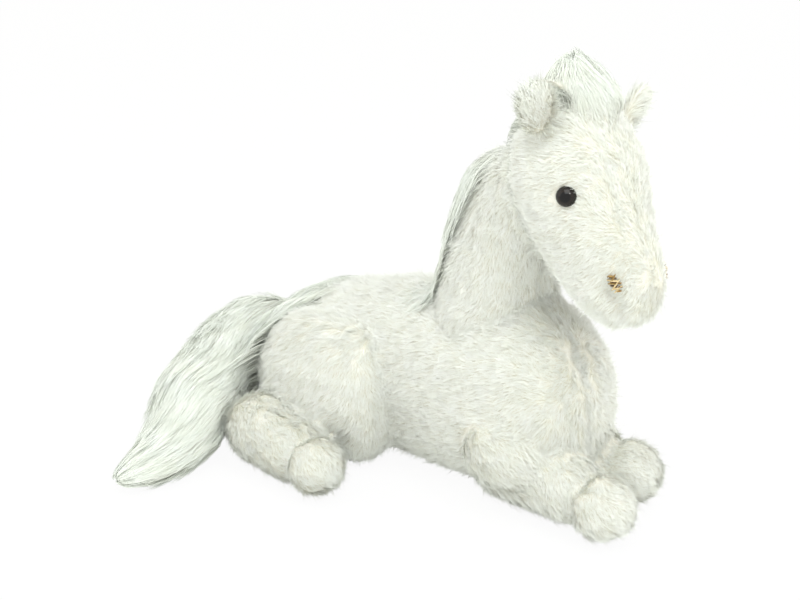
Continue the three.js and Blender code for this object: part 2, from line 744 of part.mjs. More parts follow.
function addEar(side) {
  const ear = earForm(side);
  const { pivot, axis } = earFold(ear);
  const skull = (matrix) => head.grown(TURN_CLEARANCE, OUTER_SIDES, matrix);
  const leaf = clearOfSwing(ear.solid(0, INNER_SIDES), skull, pivot, axis, EAR_FOLD_STEPS);
  const middle = ear.frameAt(0.5);
  const [front, back] = panels(leaf, middle.centre, middle.up);
  addPiece(`ear_inner_panel_${side.side}`, front, plush);
  addPiece(`ear_outer_panel_${side.side}`, back, plush);
}

function addForelock() {
  const locks = joined(forelockForms.map((form) => form.solid(0, INNER_SIDES))).subtract(head.grown());
  const clearOfEars = SIDES.reduce((left, side) => {
    const ear = earForm(side);
    const { pivot, axis } = earFold(ear);
    const obstacle = (matrix) => ear.grown(TURN_CLEARANCE, INNER_SIDES, matrix);
    return clearOfSwing(left, obstacle, pivot, axis, EAR_FOLD_STEPS);
  }, locks);
  addPiece('forelock', clearOfEars, longPile);
}

// A leg's cover as an outer panel, an inner panel and a hoof cup, with its filling.
const FETLOCK_SHARE = 0.73;
function addLeg(name, side, form, { cover, filling }) {
  const fetlock = form.frameAt(FETLOCK_SHARE);
  const outward = LEFT.clone().multiplyScalar(side.sign);
  const [hoof, leg] = panels(cover, fetlock.centre, fetlock.along);
  const [outer, inner] = panels(leg, form.frameAt(0.5).centre, outward);
  addPiece(`${name}_outer_panel_${side.side}`, outer, plush);
  addPiece(`${name}_inner_panel_${side.side}`, inner, plush);
  addPiece(`${name.replace('_leg', '_hoof')}_${side.side}`, hoof, plush);
  addPiece(`${name}_filling_${side.side}`, filling, stuffing);
}

function addForeleg(side) {
  const [forearm, upperArm] = forelegForms(side);
  const inward = LEFT.clone().multiplyScalar(-side.sign);
  const otherSide = halfSpace(inward.clone().multiplyScalar(-SEAM_GAP), inward);
  addLeg('front_leg', side, forearm, stuffedLimb([forearm, upperArm], [barrel.grown(), otherSide]));
}

function addHindLeg(side) {
  const thigh = thighForm(side);
  const shank = shankForm(side);
  const haunch = stuffedLimb([thigh], [barrel.grown()]);
  addPiece(`thigh_panel_${side.side}`, haunch.cover, plush);
  addPiece(`thigh_filling_${side.side}`, haunch.filling, stuffing);
  addLeg('hind_leg', side, shank, stuffedLimb([shank], [barrel.grown(), thigh.grown()]));
}

// The tail's cover and filling, cut clear of the rump wherever the tail swings, and of the leg beside it.
// Seen from the tail, it is the rump that swings, the other way.
const TAIL_SWING_STEPS = [0, -0.33, -0.67, -1].map((share) => share * TAIL_SWING_LIMIT);
const tailSwingAxis = UP.clone().negate();
function addTail() {
  const rightSide = SIDES[1];
  const leg = [thighForm(rightSide).grown(), shankForm(rightSide).grown()];
  const rump = (matrix) => barrel.grown(TURN_CLEARANCE, OUTER_SIDES, matrix);
  const fitted = (solid, ball) =>
    clearOfSwing(clearOf(solid, leg), rump, tailRoot, tailSwingAxis, TAIL_SWING_STEPS).add(ball);
  const outside = fitted(tail.solid(0), tailBall(0));
  const hollow = tail.solid(COVER_THICKNESS, INNER_SIDES).add(tailBall(-COVER_THICKNESS));
  const [root, tip] = [tail.spine.getPoint(0), tail.spine.getPoint(1)];
  const line = tip.sub(root).normalize();
  const lift = UP.clone().addScaledVector(line, -UP.dot(line)).normalize();
  const [upper, lower] = panels(outside.subtract(hollow), root, lift);
  addPiece('tail_upper_panel', upper, longPile);
  addPiece('tail_lower_panel', lower, longPile);
  const filling = tail.inside().add(tailBall(-COVER_THICKNESS - SEAM_GAP)).intersect(outside);
  addPiece('tail_filling', filling.subtract(upper).subtract(lower), stuffing);
}

addBody();
addNeck();
addMane();
addHead();
addForelock();
SIDES.forEach(addEar);
SIDES.forEach(addForeleg);
SIDES.forEach(addHindLeg);
addTail();

// The origin goes under the middle of the whole toy's box, on the floor.
const middle = new THREE.Box3().setFromObject(model).getCenter(new THREE.Vector3());
model.position.set(-middle.x, -middle.y, 0);

export default model;
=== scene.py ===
"""A white plush horse that lies on its belly, sewn from long-napped fabric over soft stuffing.

Every cover is a padded form in place of its sewn panels. The pile of each panel is real fibres that lie
with the nap, and the mane, the forelock and the tail are locks of long fibre. Units are metres; MM is one
millimetre.
"""
import json
import math

import bpy
import numpy as np
from mathutils import Matrix, Vector
from mathutils.bvhtree import BVHTree
from mathutils.kdtree import KDTree


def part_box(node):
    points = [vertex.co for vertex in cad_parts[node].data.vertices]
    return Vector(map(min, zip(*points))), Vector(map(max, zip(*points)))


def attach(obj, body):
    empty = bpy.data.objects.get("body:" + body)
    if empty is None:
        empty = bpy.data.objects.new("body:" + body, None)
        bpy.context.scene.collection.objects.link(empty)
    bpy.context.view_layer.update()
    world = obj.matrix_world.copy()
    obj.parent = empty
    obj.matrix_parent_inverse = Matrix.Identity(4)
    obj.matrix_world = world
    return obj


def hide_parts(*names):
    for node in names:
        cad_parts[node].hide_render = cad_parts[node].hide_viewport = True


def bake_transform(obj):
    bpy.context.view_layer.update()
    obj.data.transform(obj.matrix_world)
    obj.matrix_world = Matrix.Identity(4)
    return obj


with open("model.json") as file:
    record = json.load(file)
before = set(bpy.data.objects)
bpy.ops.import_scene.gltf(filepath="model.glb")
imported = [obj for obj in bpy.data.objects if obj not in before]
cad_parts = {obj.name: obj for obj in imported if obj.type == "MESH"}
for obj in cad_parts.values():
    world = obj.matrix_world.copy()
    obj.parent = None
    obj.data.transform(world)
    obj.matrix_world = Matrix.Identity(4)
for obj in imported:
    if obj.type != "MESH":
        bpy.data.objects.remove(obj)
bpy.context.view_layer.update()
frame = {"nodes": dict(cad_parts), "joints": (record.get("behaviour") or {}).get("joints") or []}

MM = 0.001
NODES = frame["nodes"]
SIDES = {"left": 1, "right": -1}
JOINTS = {joint["name"]: joint for joint in frame["joints"]}
UP = Vector((0, 0, 1))
CENTRE_Y = sum(corner.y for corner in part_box("mane")) / 2


# Small helpers


def linear(hex_colour):
    """An sRGB hex colour as the linear RGBA that shaders use."""
    channels = [int(hex_colour[i : i + 2], 16) / 255 for i in (0, 2, 4)]
    return [c / 12.92 if c <= 0.04045 else ((c + 0.055) / 1.055) ** 2.4 for c in channels] + [1.0]


def unit(vectors):
    """Vectors in the last axis, each made one long."""
    lengths = np.linalg.norm(vectors, axis=-1, keepdims=True)
    return vectors / np.maximum(lengths, 1e-12)


def rows_of(items, name, width, kind=np.int32):
    """One value of each item in a mesh, such as the corners of its faces, as rows of an array."""
    found = np.empty(len(items) * width, kind)
    items.foreach_get(name, found)
    return found.reshape(-1, width)


def points_of(obj):
    """The vertices of a mesh object as an array."""
    return rows_of(obj.data.vertices, "co", 3, np.float32).astype(float)


def normals_of(obj):
    """The vertex normals of a mesh object as an array."""
    return rows_of(obj.data.vertex_normals, "vector", 3, np.float32).astype(float)


def move_points(obj, points):
    """Puts a mesh object's vertices at these places."""
    obj.data.vertices.foreach_set("co", points.astype(np.float32).ravel())
    obj.data.update()


def bvh_of(*objects):
    """A search tree over the faces of mesh objects."""
    corners, faces = [], []
    for obj in objects:
        first = len(corners)
        corners += [v.co for v in obj.data.vertices]
        faces += [tuple(first + i for i in face.vertices) for face in obj.data.polygons]
    return BVHTree.FromPolygons(corners, faces)


def kd_of(places):
    """A search tree over places."""
    tree = KDTree(len(places))
    for i, place in enumerate(places):
        tree.insert(place, i)
    tree.balance()
    return tree


def is_inside(tree, place):
    """Whether a place is inside a closed surface, by an odd count of crossings on a line up from it."""
    start, crossings = Vector(place), 0
    hit = tree.ray_cast(start, UP)[0]
    while hit is not None:
        crossings += 1
        hit = tree.ray_cast(hit + UP * 0.002 * MM, UP)[0]
    return crossings % 2 == 1


def ripple(points, wavelength, seed):
    """A smooth random value of about -1 to 1 at each point, from a few crossed waves."""
    waves = np.random.default_rng(seed)
    total = np.zeros(len(points))
    count = 7
    for _ in range(count):
        direction = unit(waves.normal(size=3)) * waves.uniform(0.7, 1.4)
        total += np.sin(points @ direction * (2 * math.pi / wavelength) + waves.uniform(0, 2 * math.pi))
    return total * math.sqrt(2 / count) * 0.7


def select_only(*objects):
    """Leaves only these objects selected, with the first one active."""
    bpy.ops.object.select_all(action="DESELECT")
    for obj in objects:
        obj.hide_set(False)
        obj.select_set(True)
    bpy.context.view_layer.objects.active = objects[0]


def edit_all():
    """Enters edit mode on the active object with everything selected."""
    bpy.ops.object.mode_set(mode="EDIT")
    bpy.ops.mesh.select_all(action="SELECT")


def apply_modifier(obj, kind, **settings):
    """Adds a modifier with its settings and applies it."""
    select_only(obj)
    modifier = obj.modifiers.new(kind.lower(), kind)
    for key, value in settings.items():
        setattr(modifier, key, value)
    bpy.ops.object.modifier_apply(modifier=modifier.name)


def link_new(name, data):
    """A new object in the scene with this mesh, lamp or camera."""
    obj = bpy.data.objects.new(name, data)
    bpy.context.scene.collection.objects.link(obj)
    return obj


def use_material(obj, material):
    """Gives an object this one material."""
    obj.data.materials.clear()
    obj.data.materials.append(material)


# The finishes


def add_node(tree, kind, inputs=None, links=None, stops=(), **settings):
    """Adds a shader node with its settings, input values, the sockets that feed it and a ramp's stops."""
    node = tree.nodes.new(kind)
    for key, value in settings.items():
        setattr(node, key, value)
    for key, value in (inputs or {}).items():
        node.inputs[key].default_value = value
    for key, source in (links or {}).items():
        tree.links.new(source, node.inputs[key])
    if stops:
        elements = node.color_ramp.elements
        while len(elements) < len(stops):
            elements.new(0.5)
        for element, (place, colour) in zip(elements, stops):
            element.position, element.color = place, linear(colour)
    return node


MIX_FACTOR, MIX_A, MIX_B, MIX_RESULT = 0, 6, 7, 2
MULTIPLIED = {"data_type": "RGBA", "blend_type": "MULTIPLY"}


def new_material(name, **sockets):
    """A material with one Principled shader, its uniform values on the shader's own sockets."""
    material = bpy.data.materials.new(name)
    material.use_nodes = True
    tree = material.node_tree
    shader = tree.nodes["Principled BSDF"]
    for key, value in sockets.items():
        shader.inputs[key.replace("_", " ")].default_value = value
    return material, tree, shader


def clouded(tree, size_mm, stops, detail, roughness=0.5):
    """Soft clouds of a real size over a piece, as a height and as a colour between the stops."""
    place = add_node(tree, "ShaderNodeTexCoord")
    clouds = add_node(
        tree,
        "ShaderNodeTexNoise",
        inputs={"Scale": 1 / (size_mm * MM), "Detail": detail, "Roughness": roughness},
        links={"Vector": place.outputs["Object"]},
    )
    ramp = add_node(tree, "ShaderNodeValToRGB", links={"Fac": clouds.outputs["Fac"]}, stops=stops)
    return clouds.outputs["Fac"], ramp.outputs["Color"]


def along_attribute(tree, name, stops):
    """A colour that runs through the stops with a number stored on the mesh."""
    stored = add_node(tree, "ShaderNodeAttribute", attribute_name=name)
    ramp = add_node(tree, "ShaderNodeValToRGB", links={"Fac": stored.outputs["Fac"]}, stops=stops)
    return ramp.outputs["Color"]


def dye(tree, shader, colour, *shades):
    """Gives a shader its colour, deepened by each of the shades."""
    for shade in shades:
        links = {MIX_A: colour, MIX_B: shade}
        mix = add_node(tree, "ShaderNodeMix", {MIX_FACTOR: 1.0}, links, **MULTIPLIED)
        colour = mix.outputs[MIX_RESULT]
    tree.links.new(colour, shader.inputs["Base Color"])


def pile_material(name, stops, mottle_mm, roughness, sheen):
    """Pile whose colour runs from a painted shade at the root to white at the tip, and drifts softly over
    the cloth.
    """
    material, tree, shader = new_material(
        name, Roughness=roughness, Sheen_Weight=sheen, Sheen_Roughness=0.5, Specular_IOR_Level=0.15
    )
    mottle = clouded(tree, mottle_mm, [(0.3, "FAFAF6"), (0.7, "FFFFFF")], detail=3.0, roughness=0.6)[1]
    tone = along_attribute(tree, "tone", [(0.0, "FAFBF8"), (1.0, "FFFFFF")])
    # The ramp along each fibre is painted shade: the roots are drawn darker and warmer than the tips, as the
    # depth of the pile shades them.
    dye(tree, shader, along_attribute(tree, "along", stops), mottle, tone)
    return material


def make_short_pile():
    """Acrylic plush, knitted and sheared: soft matt white fibres, with a painted cream shade at the roots,
    deep in the pile.
    """
    # The darker first stop is painted shade at the roots of the fibres.
    stops = [(0.0, "F4F0E6"), (0.4, "FAFBF7"), (1.0, "FCFFFD")]
    return pile_material("acrylic_plush_sheared", stops, mottle_mm=9, roughness=0.85, sheen=0.25)


def make_long_pile():
    """Long-napped acrylic, brushed out: silkier and a shade cooler than the sheared cloth."""
    # The darker first stop is painted shade at the roots of the locks.
    stops = [(0.0, "F2F4EE"), (0.4, "F9FCF8"), (1.0, "FBFFFC")]
    return pile_material("acrylic_long_pile_brushed", stops, mottle_mm=14, roughness=0.6, sheen=0.2)


def make_backing():
    """The knitted ground under the pile: a matt mat of fibre roots, drawn cream and darker than the fibres
    as painted shade of the pile's depth, that drifts softly in tone.
    """
    material, tree, shader = new_material(
        "acrylic_knit_backing", Roughness=0.95, Sheen_Weight=0.3, Specular_IOR_Level=0.1
    )
    # Fibre roots stand about 0.3 mm apart. They are drawn in tufts of 1.4 mm, which still show.
    # The tufts are drawn darker where they are low, from the same height as the bump: painted shade in the
    # hollows between them.
    roots, mat = clouded(tree, 1.4, [(0.3, "E6E4D9"), (0.7, "F8F7F0")], detail=4.0, roughness=0.7)
    dye(tree, shader, mat, clouded(tree, 9, [(0.3, "F3F2EA"), (0.7, "FFFFFF")], detail=2.0)[1])
    bump = add_node(tree, "ShaderNodeBump", {"Strength": 0.5, "Distance": 0.4 * MM}, {"Height": roots})
    tree.links.new(bump.outputs["Normal"], shader.inputs["Normal"])
    return material


def make_eye_plastic():
    """Moulded acrylic eye: a clear glossy dome over a dark brown iris with a black pupil."""
    material, tree, shader = new_material(
        "moulded_acrylic_eye", Roughness=0.05, IOR=1.49, Specular_IOR_Level=0.4
    )
    stops = [(0.0, "050403"), (0.48, "070504"), (0.56, "2A2016"), (0.8, "1D160F"), (1.0, "0B0806")]
    flecks = clouded(tree, 0.8, [(0.35, "9A9A9A"), (0.7, "FFFFFF")], detail=3.0)[1]
    dye(tree, shader, along_attribute(tree, "from_axis", stops), flecks)
    return material


def make_washer_plastic():
    """Moulded nylon washer: milky and slightly waxy, with faint moulding clouds."""
    material, tree, shader = new_material("moulded_nylon_washer", Roughness=0.45, IOR=1.53)
    dye(tree, shader, clouded(tree, 5, [(0.3, "DEDCD2"), (0.7, "ECEBE3")], detail=2.0)[1])
    return material


def make_thread(name, dark, light):
    """Twisted embroidery thread: a soft sheen, and a ply along it whose grooves are painted darker, as
    shade, and whose turns are painted lighter.
    """
    material, tree, shader = new_material(
        name, Roughness=0.55, Sheen_Weight=0.3, Specular_IOR_Level=0.3
    )
    # A real ply turns every 0.3 mm or so. It is drawn at 0.7 mm, because a finer one wouldn't show.
    # The colour goes from dark in the low parts of the ply to light on its high parts: painted shade in the
    # grooves between the turns.
    ply, shaded_strand = clouded(tree, 0.7, [(0.35, dark), (0.65, light)], detail=3.0, roughness=0.7)
    dye(tree, shader, shaded_strand)
    bump = add_node(tree, "ShaderNodeBump", {"Strength": 0.4, "Distance": 0.1 * MM}, {"Height": ply})
    tree.links.new(bump.outputs["Normal"], shader.inputs["Normal"])
    return material


SHORT_PILE = make_short_pile()
LONG_PILE = make_long_pile()
BACKING = make_backing()


# The padded covers

VOXEL = 3.4 * MM
PILE_RISE = 1.9 * MM
SEAM_DEPTH, SEAM_WIDTH = 1.3 * MM, 3.0 * MM
HOOF_SEAM_DEPTH, HOOF_SEAM_WIDTH = 4.0 * MM, 5.0 * MM
TUFT_DEPTH, TUFT_SPACINGS = 0.4 * MM, (8 * MM, 4.5 * MM)
FLOOR_CLEARANCE = 1.0 * MM


def limb(part, side):
    """The panels and the stuffing of one leg."""
    panels = [f"{part}_{cut}_{side}" for cut in ("leg_outer_panel", "leg_inner_panel", "hoof")]
    return panels, [f"{part}_leg_filling_{side}"]


FORMS = {
    "body": (["body_side_panel_left", "body_side_panel_right", "belly_gusset"], ["body_filling"]),
    "neck": (["neck_panel_left", "neck_panel_right"], ["neck_filling"]),
    "head": (["head_side_panel_left", "head_side_panel_right", "face_gusset"], ["head_filling"]),
    "tail": (["tail_upper_panel", "tail_lower_panel"], ["tail_filling"]),
    "mane": (["mane"], []),
    "forelock": (["forelock"], []),
}
for side in SIDES:
    FORMS[f"thigh_{side}"] = ([f"thigh_panel_{side}"], [f"thigh_filling_{side}"])
    FORMS[f"front_leg_{side}"] = limb("front", side)
    FORMS[f"hind_leg_{side}"] = limb("hind", side)
    FORMS[f"ear_{side}"] = ([f"ear_inner_panel_{side}", f"ear_outer_panel_{side}"], [])
TORSO = [key for key in FORMS if key in ("body", "neck", "mane") or "leg" in key or "thigh" in key]
HEAD = ["head", "forelock"]


CAD_WELD = 0.001 * MM


def copy_of(name, nodes):
    """One mesh made of copies of these CAD nodes, with their loose triangles merged."""
    copies = [link_new(name, NODES[node].data.copy()) for node in nodes]
    select_only(*copies)
    if len(copies) > 1:
        bpy.ops.object.join()
    whole = bpy.context.view_layer.objects.active
    edit_all()
    bpy.ops.mesh.remove_doubles(threshold=CAD_WELD)
    bpy.ops.object.mode_set(mode="OBJECT")
    return whole


def keep_outer_skin(obj):
    """Leaves only the largest loose part of a mesh."""
    select_only(obj)
    edit_all()
    bpy.ops.mesh.separate(type="LOOSE")
    bpy.ops.object.mode_set(mode="OBJECT")
    parts = sorted(bpy.context.selected_objects, key=lambda part: len(part.data.vertices))
    outer = parts.pop()
    for part in parts:
        bpy.data.objects.remove(part)
    select_only(outer)
    return outer


SWELL_FRAMES, STUFFING_PRESSURE = 20, 4


def swell(cover, cap):
    """Blows a cover up with cloth pressure, as stuffing fills it, and caps how far a point moves."""
    before = points_of(cover)
    cloth = cover.modifiers.new("stuffing", "CLOTH")
    cloth.settings.use_pressure = True
    cloth.settings.uniform_pressure_force = STUFFING_PRESSURE
    cloth.settings.effector_weights.gravity = 0
    cloth.point_cache.frame_start, cloth.point_cache.frame_end = 1, SWELL_FRAMES
    for step in range(1, SWELL_FRAMES + 1):
        bpy.context.scene.frame_set(step)
    select_only(cover)
    bpy.ops.object.modifier_apply(modifier=cloth.name)
    bpy.context.scene.frame_set(1)
    moved = points_of(cover) - before
    far = np.linalg.norm(moved, axis=1, keepdims=True)
    move_points(cover, before + moved * np.minimum(1, cap / np.maximum(far, 1e-9)))


def panel_numbers(points, panels):
    """The number of the panel that lies nearest to each point."""
    owners = [number for number, panel in enumerate(panels) for _ in NODES[panel].data.polygons]
    tree = bvh_of(*(NODES[panel] for panel in panels))
    return np.array([owners[tree.find_nearest(Vector(p))[2]] for p in points])


LONG_PILED = ("mane", "forelock")


def from_seams(skin, panels, chosen, left_out=()):
    """How far each point of a skin is from the chosen panels' seams, where the nearest panel changes."""
    points = points_of(skin)
    edges = rows_of(skin.data.edges, "vertices", 2)
    ends = panel_numbers(points, panels)[edges]
    sewn = ends[:, 0] != ends[:, 1]
    sewn &= np.isin(ends, [panels.index(panel) for panel in chosen]).any(axis=1)
    sewn &= ~np.isin(ends, [panels.index(panel) for panel in left_out]).any(axis=1)
    if not sewn.any():
        return np.full(len(points), np.inf)
    tree = kd_of(points[edges[sewn]].mean(axis=1))
    return np.array([tree.find(p)[2] for p in points])


def draw_in_seams(skin, panels, depth, width, chosen):
    """Draws a skin in along the seams of the chosen panels; long pile hides its own seams."""
    away = from_seams(skin, panels, chosen, [panel for panel in LONG_PILED if panel in panels])
    depths = depth * np.exp(-((away / width) ** 2))
    move_points(skin, points_of(skin) - normals_of(skin) * depths[:, None])


MANE_FOOT, MANE_FOOT_ROUNDS = 14 * MM, 40


def round_off_foot(skin, panels):
    """Fills the fold at the foot of the mane, so that it rises from the neck in one soft curve."""
    away = from_seams(skin, panels, ["mane"])
    foot = skin.vertex_groups.new(name="foot")
    for i in np.flatnonzero(away < MANE_FOOT):
        foot.add([int(i)], float(1 - away[i] / MANE_FOOT), "REPLACE")
    apply_modifier(skin, "SMOOTH", factor=0.5, iterations=MANE_FOOT_ROUNDS, vertex_group=foot.name)
    skin.vertex_groups.clear()


def reach_into(skin, nodes, within, push):
    """Pushes a skin's points that lie near these CAD nodes into them, so that no root seam gapes."""
    points = points_of(skin)
    for node in nodes:
        tree = bvh_of(NODES[node])
        for i, p in enumerate(points):
            place, _, _, away = tree.find_nearest(Vector(p), within)
            if place is not None and away > 0.01 * MM:
                points[i] += np.array(place - Vector(p)) / away * push * (1 - away / within)
    move_points(skin, points)


def make_skin(keys, inset=PILE_RISE, smooth=8, cap=1.5 * MM, roots=(), push=0.0):
    """The ground cloth over the stuffing of some forms, as one closed skin with its seams drawn in."""
    panels = [panel for key in keys for panel in FORMS[key][0]]
    skin = copy_of("skin", panels + [filling for key in keys for filling in FORMS[key][1]])
    apply_modifier(skin, "REMESH", mode="VOXEL", voxel_size=VOXEL)
    skin = keep_outer_skin(skin)
    apply_modifier(skin, "SMOOTH", factor=0.5, iterations=smooth)
    apply_modifier(skin, "DISPLACE", strength=-inset, mid_level=0)
    swell(skin, cap)
    if roots:
        reach_into(skin, roots, 3 * inset, push)
    if "mane" in keys:
        round_off_foot(skin, panels)
    draw_in_seams(skin, panels, SEAM_DEPTH, SEAM_WIDTH, panels)
    hooves = [panel for panel in panels if "hoof" in panel]
    draw_in_seams(skin, panels, HOOF_SEAM_DEPTH, HOOF_SEAM_WIDTH, hooves)
    if "head" in keys:
        crease_mouth(skin)
    apply_modifier(skin, "SUBSURF", levels=1, render_levels=1)
    points = points_of(skin)
    coarse, fine = (ripple(points, spacing, seed) for spacing, seed in zip(TUFT_SPACINGS, (5, 6)))
    tufts = 0.6 * coarse + 0.4 * fine
    points += normals_of(skin) * (TUFT_DEPTH * tufts)[:, None]
    points[:, 2] = np.maximum(points[:, 2], FLOOR_CLEARANCE)
    move_points(skin, points)
    skin.data.calc_loop_triangles()
    return {
        "skin": skin,
        "triangles": rows_of(skin.data.loop_triangles, "vertices", 3),
        "points": points_of(skin),
        "normals": normals_of(skin),
        "panels": panels,
        "numbers": panel_numbers(points, panels),
    }


COLLAR = 8 * MM


def loop_middles(places, links):
    """For each place on the cut rims, the middle of the rim loop that it lies on."""
    label = np.arange(len(places))
    while True:
        lowest = label.copy()
        np.minimum.at(lowest, links[:, 0], label[links[:, 1]])
        np.minimum.at(lowest, links[:, 1], label[links[:, 0]])
        if (lowest == label).all():
            break
        label = lowest
    counts = np.maximum(np.bincount(label), 1)
    sums = np.stack([np.bincount(label, weights=places[:, i]) for i in range(3)], axis=1)
    return (sums / counts[:, None])[label]


def with_collar(points, normals, quads):
    """A cut cloth whose cut edge is turned in, so that the cap that closes it lies deep in the stuffing."""
    edges = np.concatenate([quads[:, [i, (i + 1) % 4]] for i in range(4)])
    _, first, counts = np.unique(np.sort(edges, axis=1), axis=0, return_index=True, return_counts=True)
    rim = edges[first[counts == 1]]
    if not len(rim):
        return points, normals, quads
    kept, links = np.unique(rim, return_inverse=True)
    links = links.reshape(-1, 2)
    turned_in = links + len(points)
    collar = np.stack([rim[:, 1], rim[:, 0], turned_in[:, 0], turned_in[:, 1]], axis=1)
    middles = loop_middles(points[kept], links)
    inner = (points[kept] - normals[kept] * COLLAR) * 0.5 + middles * 0.5
    pairs = (points, inner), (normals, normals[kept]), (quads, collar)
    return tuple(np.concatenate(pair) for pair in pairs)


def divide(cloth, keys, body):
    """Cuts a skin into the covers of its forms, each closed inside where it is sewn to the next."""
    quads = rows_of(cloth["skin"].data.polygons, "vertices", 4)
    for key in keys:
        own = [cloth["panels"].index(panel) for panel in FORMS[key][0]]
        used, faces = np.unique(quads[np.isin(cloth["numbers"][quads[:, 0]], own)], return_inverse=True)
        faces = faces.reshape(-1, 4)
        points, normals, faces = with_collar(cloth["points"][used], cloth["normals"][used], faces)
        mesh = bpy.data.meshes.new(f"{key}_cover")
        mesh.from_pydata(points.tolist(), [], faces.tolist())
        cover = link_new(f"{key}_cover", mesh)
        select_only(cover)
        bpy.ops.object.shade_smooth()
        if len(keys) > 1:
            edit_all()
            bpy.ops.mesh.fill_holes(sides=0)
            bpy.ops.object.mode_set(mode="OBJECT")
        write_normals(mesh, normals)
        use_material(cover, BACKING)
        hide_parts(*FORMS[key][0], *FORMS[key][1])
        covers[key] = {"cover": cover, "body": body}


# Fibres


def rooted(cloth, weights, density, seed):
    """Random roots for fibres on a cloth, with the cloth's normals and the weights there."""
    corners = cloth["triangles"]
    a, b, c = (cloth["points"][corners[:, i]] for i in range(3))
    areas = np.linalg.norm(np.cross(b - a, c - a), axis=1) / 2 * weights[corners].mean(axis=1)
    draw = np.random.default_rng(seed)
    count = int(areas.sum() * density)
    chosen = corners[draw.choice(len(corners), count, p=areas / areas.sum())]
    r, s = np.sqrt(draw.random(count)), draw.random(count)
    shares = np.stack([1 - r, r * (1 - s), r * s], axis=1)
    fields = (cloth["points"], cloth["normals"], weights)
    roots, normals, there = (np.einsum("nk...,nk->n...", field[chosen], shares) for field in fields)
    return roots, unit(normals), there


def per_mm2(count):
    return (count) / MM**2


def write_attribute(mesh, name, values):
    """Stores one number a vertex under a name that materials read."""
    attribute = mesh.attributes.new(name, "FLOAT", "POINT")
    attribute.data.foreach_set("value", values.astype(np.float32))


def write_normals(mesh, normals):
    """Stores the direction by which each vertex is shaded."""
    soft = mesh.attributes.new("custom_normal", "FLOAT_VECTOR", "POINT")
    soft.data.foreach_set("vector", normals.astype(np.float32).ravel())


def add_fibre_map(mesh, count, rings, face_corners):
    """A UV map with a cell of its own for each fibre, root at the bottom and tip at the top."""
    columns = math.ceil(math.sqrt(count))
    cells = np.arange(count)
    origin = np.stack([cells % columns, cells // columns], axis=1) / columns
    inside = [(x, 0.1 + 0.8 * i / rings) for i in range(rings) for x in (0.1, 0.9)] + [(0.5, 0.9)]
    corner_places = np.array(inside)[face_corners] / columns
    layer = mesh.uv_layers.new(name="OFBake")
    layer.uv.foreach_set("vector", (origin[:, None] + corner_places[None]).astype(np.float32).ravel())


def fibre_mesh(name, paths, half_widths, across, normals, tones):
    """Flat tapering fibres along paths, each closed to a point, with shading that follows the cloth."""
    count, steps = paths.shape[:2]
    rings = steps - 1
    offset = across[:, None, :] * half_widths[:, :, None]
    sides = np.stack([paths[:, :rings] - offset, paths[:, :rings] + offset], axis=2)
    points = np.concatenate([sides.reshape(count, rings * 2, 3), paths[:, rings:]], axis=1)
    per = rings * 2 + 1
    quads = [[2 * i, 2 * i + 1, 2 * i + 3, 2 * i + 2] for i in range(rings - 1)]
    face_corners = [corner for quad in quads for corner in quad] + [per - 3, per - 2, per - 1]
    starts = np.cumsum([0] + [4] * len(quads))
    loops = (np.arange(count)[:, None] * per + np.array(face_corners)[None]).ravel()
    loop_starts = (np.arange(count)[:, None] * len(face_corners) + starts[None]).ravel()
    mesh = bpy.data.meshes.new(name)
    mesh.vertices.add(count * per)
    mesh.vertices.foreach_set("co", points.astype(np.float32).ravel())
    mesh.loops.add(len(loops))
    mesh.loops.foreach_set("vertex_index", loops.astype(np.int32))
    mesh.polygons.add(len(loop_starts))
    mesh.polygons.foreach_set("loop_start", loop_starts.astype(np.int32))
    mesh.update(calc_edges=True)
    mesh.polygons.foreach_set("use_smooth", np.ones(len(loop_starts), bool))
    write_attribute(mesh, "along", np.tile(np.append(np.repeat(np.arange(rings) / rings, 2), 1.0), count))
    write_attribute(mesh, "tone", np.repeat(tones, per))
    write_normals(mesh, np.repeat(normals, per, axis=0) if normals.ndim == 2 else on_rings(normals))
    add_fibre_map(mesh, count, rings, face_corners)
    return link_new(name, mesh)


def on_rings(values):
    """Values on a path's points, given twice on each ring and once at the tip."""
    rings = np.repeat(values[:, :-1], 2, axis=1)
    return np.concatenate([rings, values[:, -1:]], axis=1).reshape(-1, values.shape[-1])


def turned(vectors, axes, angles):
    """Vectors turned about unit axes by angles in radians."""
    cosine, sine = np.cos(angles)[:, None], np.sin(angles)[:, None]
    along = (vectors * axes).sum(axis=1, keepdims=True)
    return vectors * cosine + np.cross(axes, vectors) * sine + axes * along * (1 - cosine)


def shown(points, others, depth):
    """1 where a point shows and 0 where it lies deeper than depth inside another skin."""
    shows = np.ones(len(points))
    for other in others:
        places = points_of(other)
        near = ((points > places.min(axis=0)) & (points < places.max(axis=0))).all(axis=1)
        tree = bvh_of(other)
        for i in np.flatnonzero(near):
            if tree.find_nearest(Vector(points[i]))[3] > depth and is_inside(tree, points[i]):
                shows[i] = 0
    return shows


# A real fibre is about 0.02 mm wide. One here stands for a wisp of them, as coarse as the render needs.
FIBRE_HALF_WIDTH = 0.15 * MM
ROOT_DEPTH, LOWEST_FIBRE, LOWEST_LOCK = 0.6 * MM, 0.3 * MM, 0.4 * MM
CLUMP_SPACING, CLUMP_PULL = 5.5 * MM, 0.11
SWIRL, TOUSLE, STRAY = math.radians(17), math.radians(11), math.radians(19)
SWIRL_SIZE, TOUSLE_SIZE, LENGTH_SIZE, STAND_SIZE = 45 * MM, 13 * MM, 9 * MM, 7 * MM
LENGTH_RANGE, LENGTH_RIPPLE, FIBRE_TWIST, FIBRE_TAPER = (0.75, 1.15), 0.12, 0.22, 0.85
STAND_DEGREES, STAND_RIPPLE, STAND_SPREAD, LIE = 32, 5, 6, math.radians(12)
FLYAWAY_SHARE, FLYAWAY_REACH, FLYAWAY_STAND = 0.05, 1.4, math.radians(16)


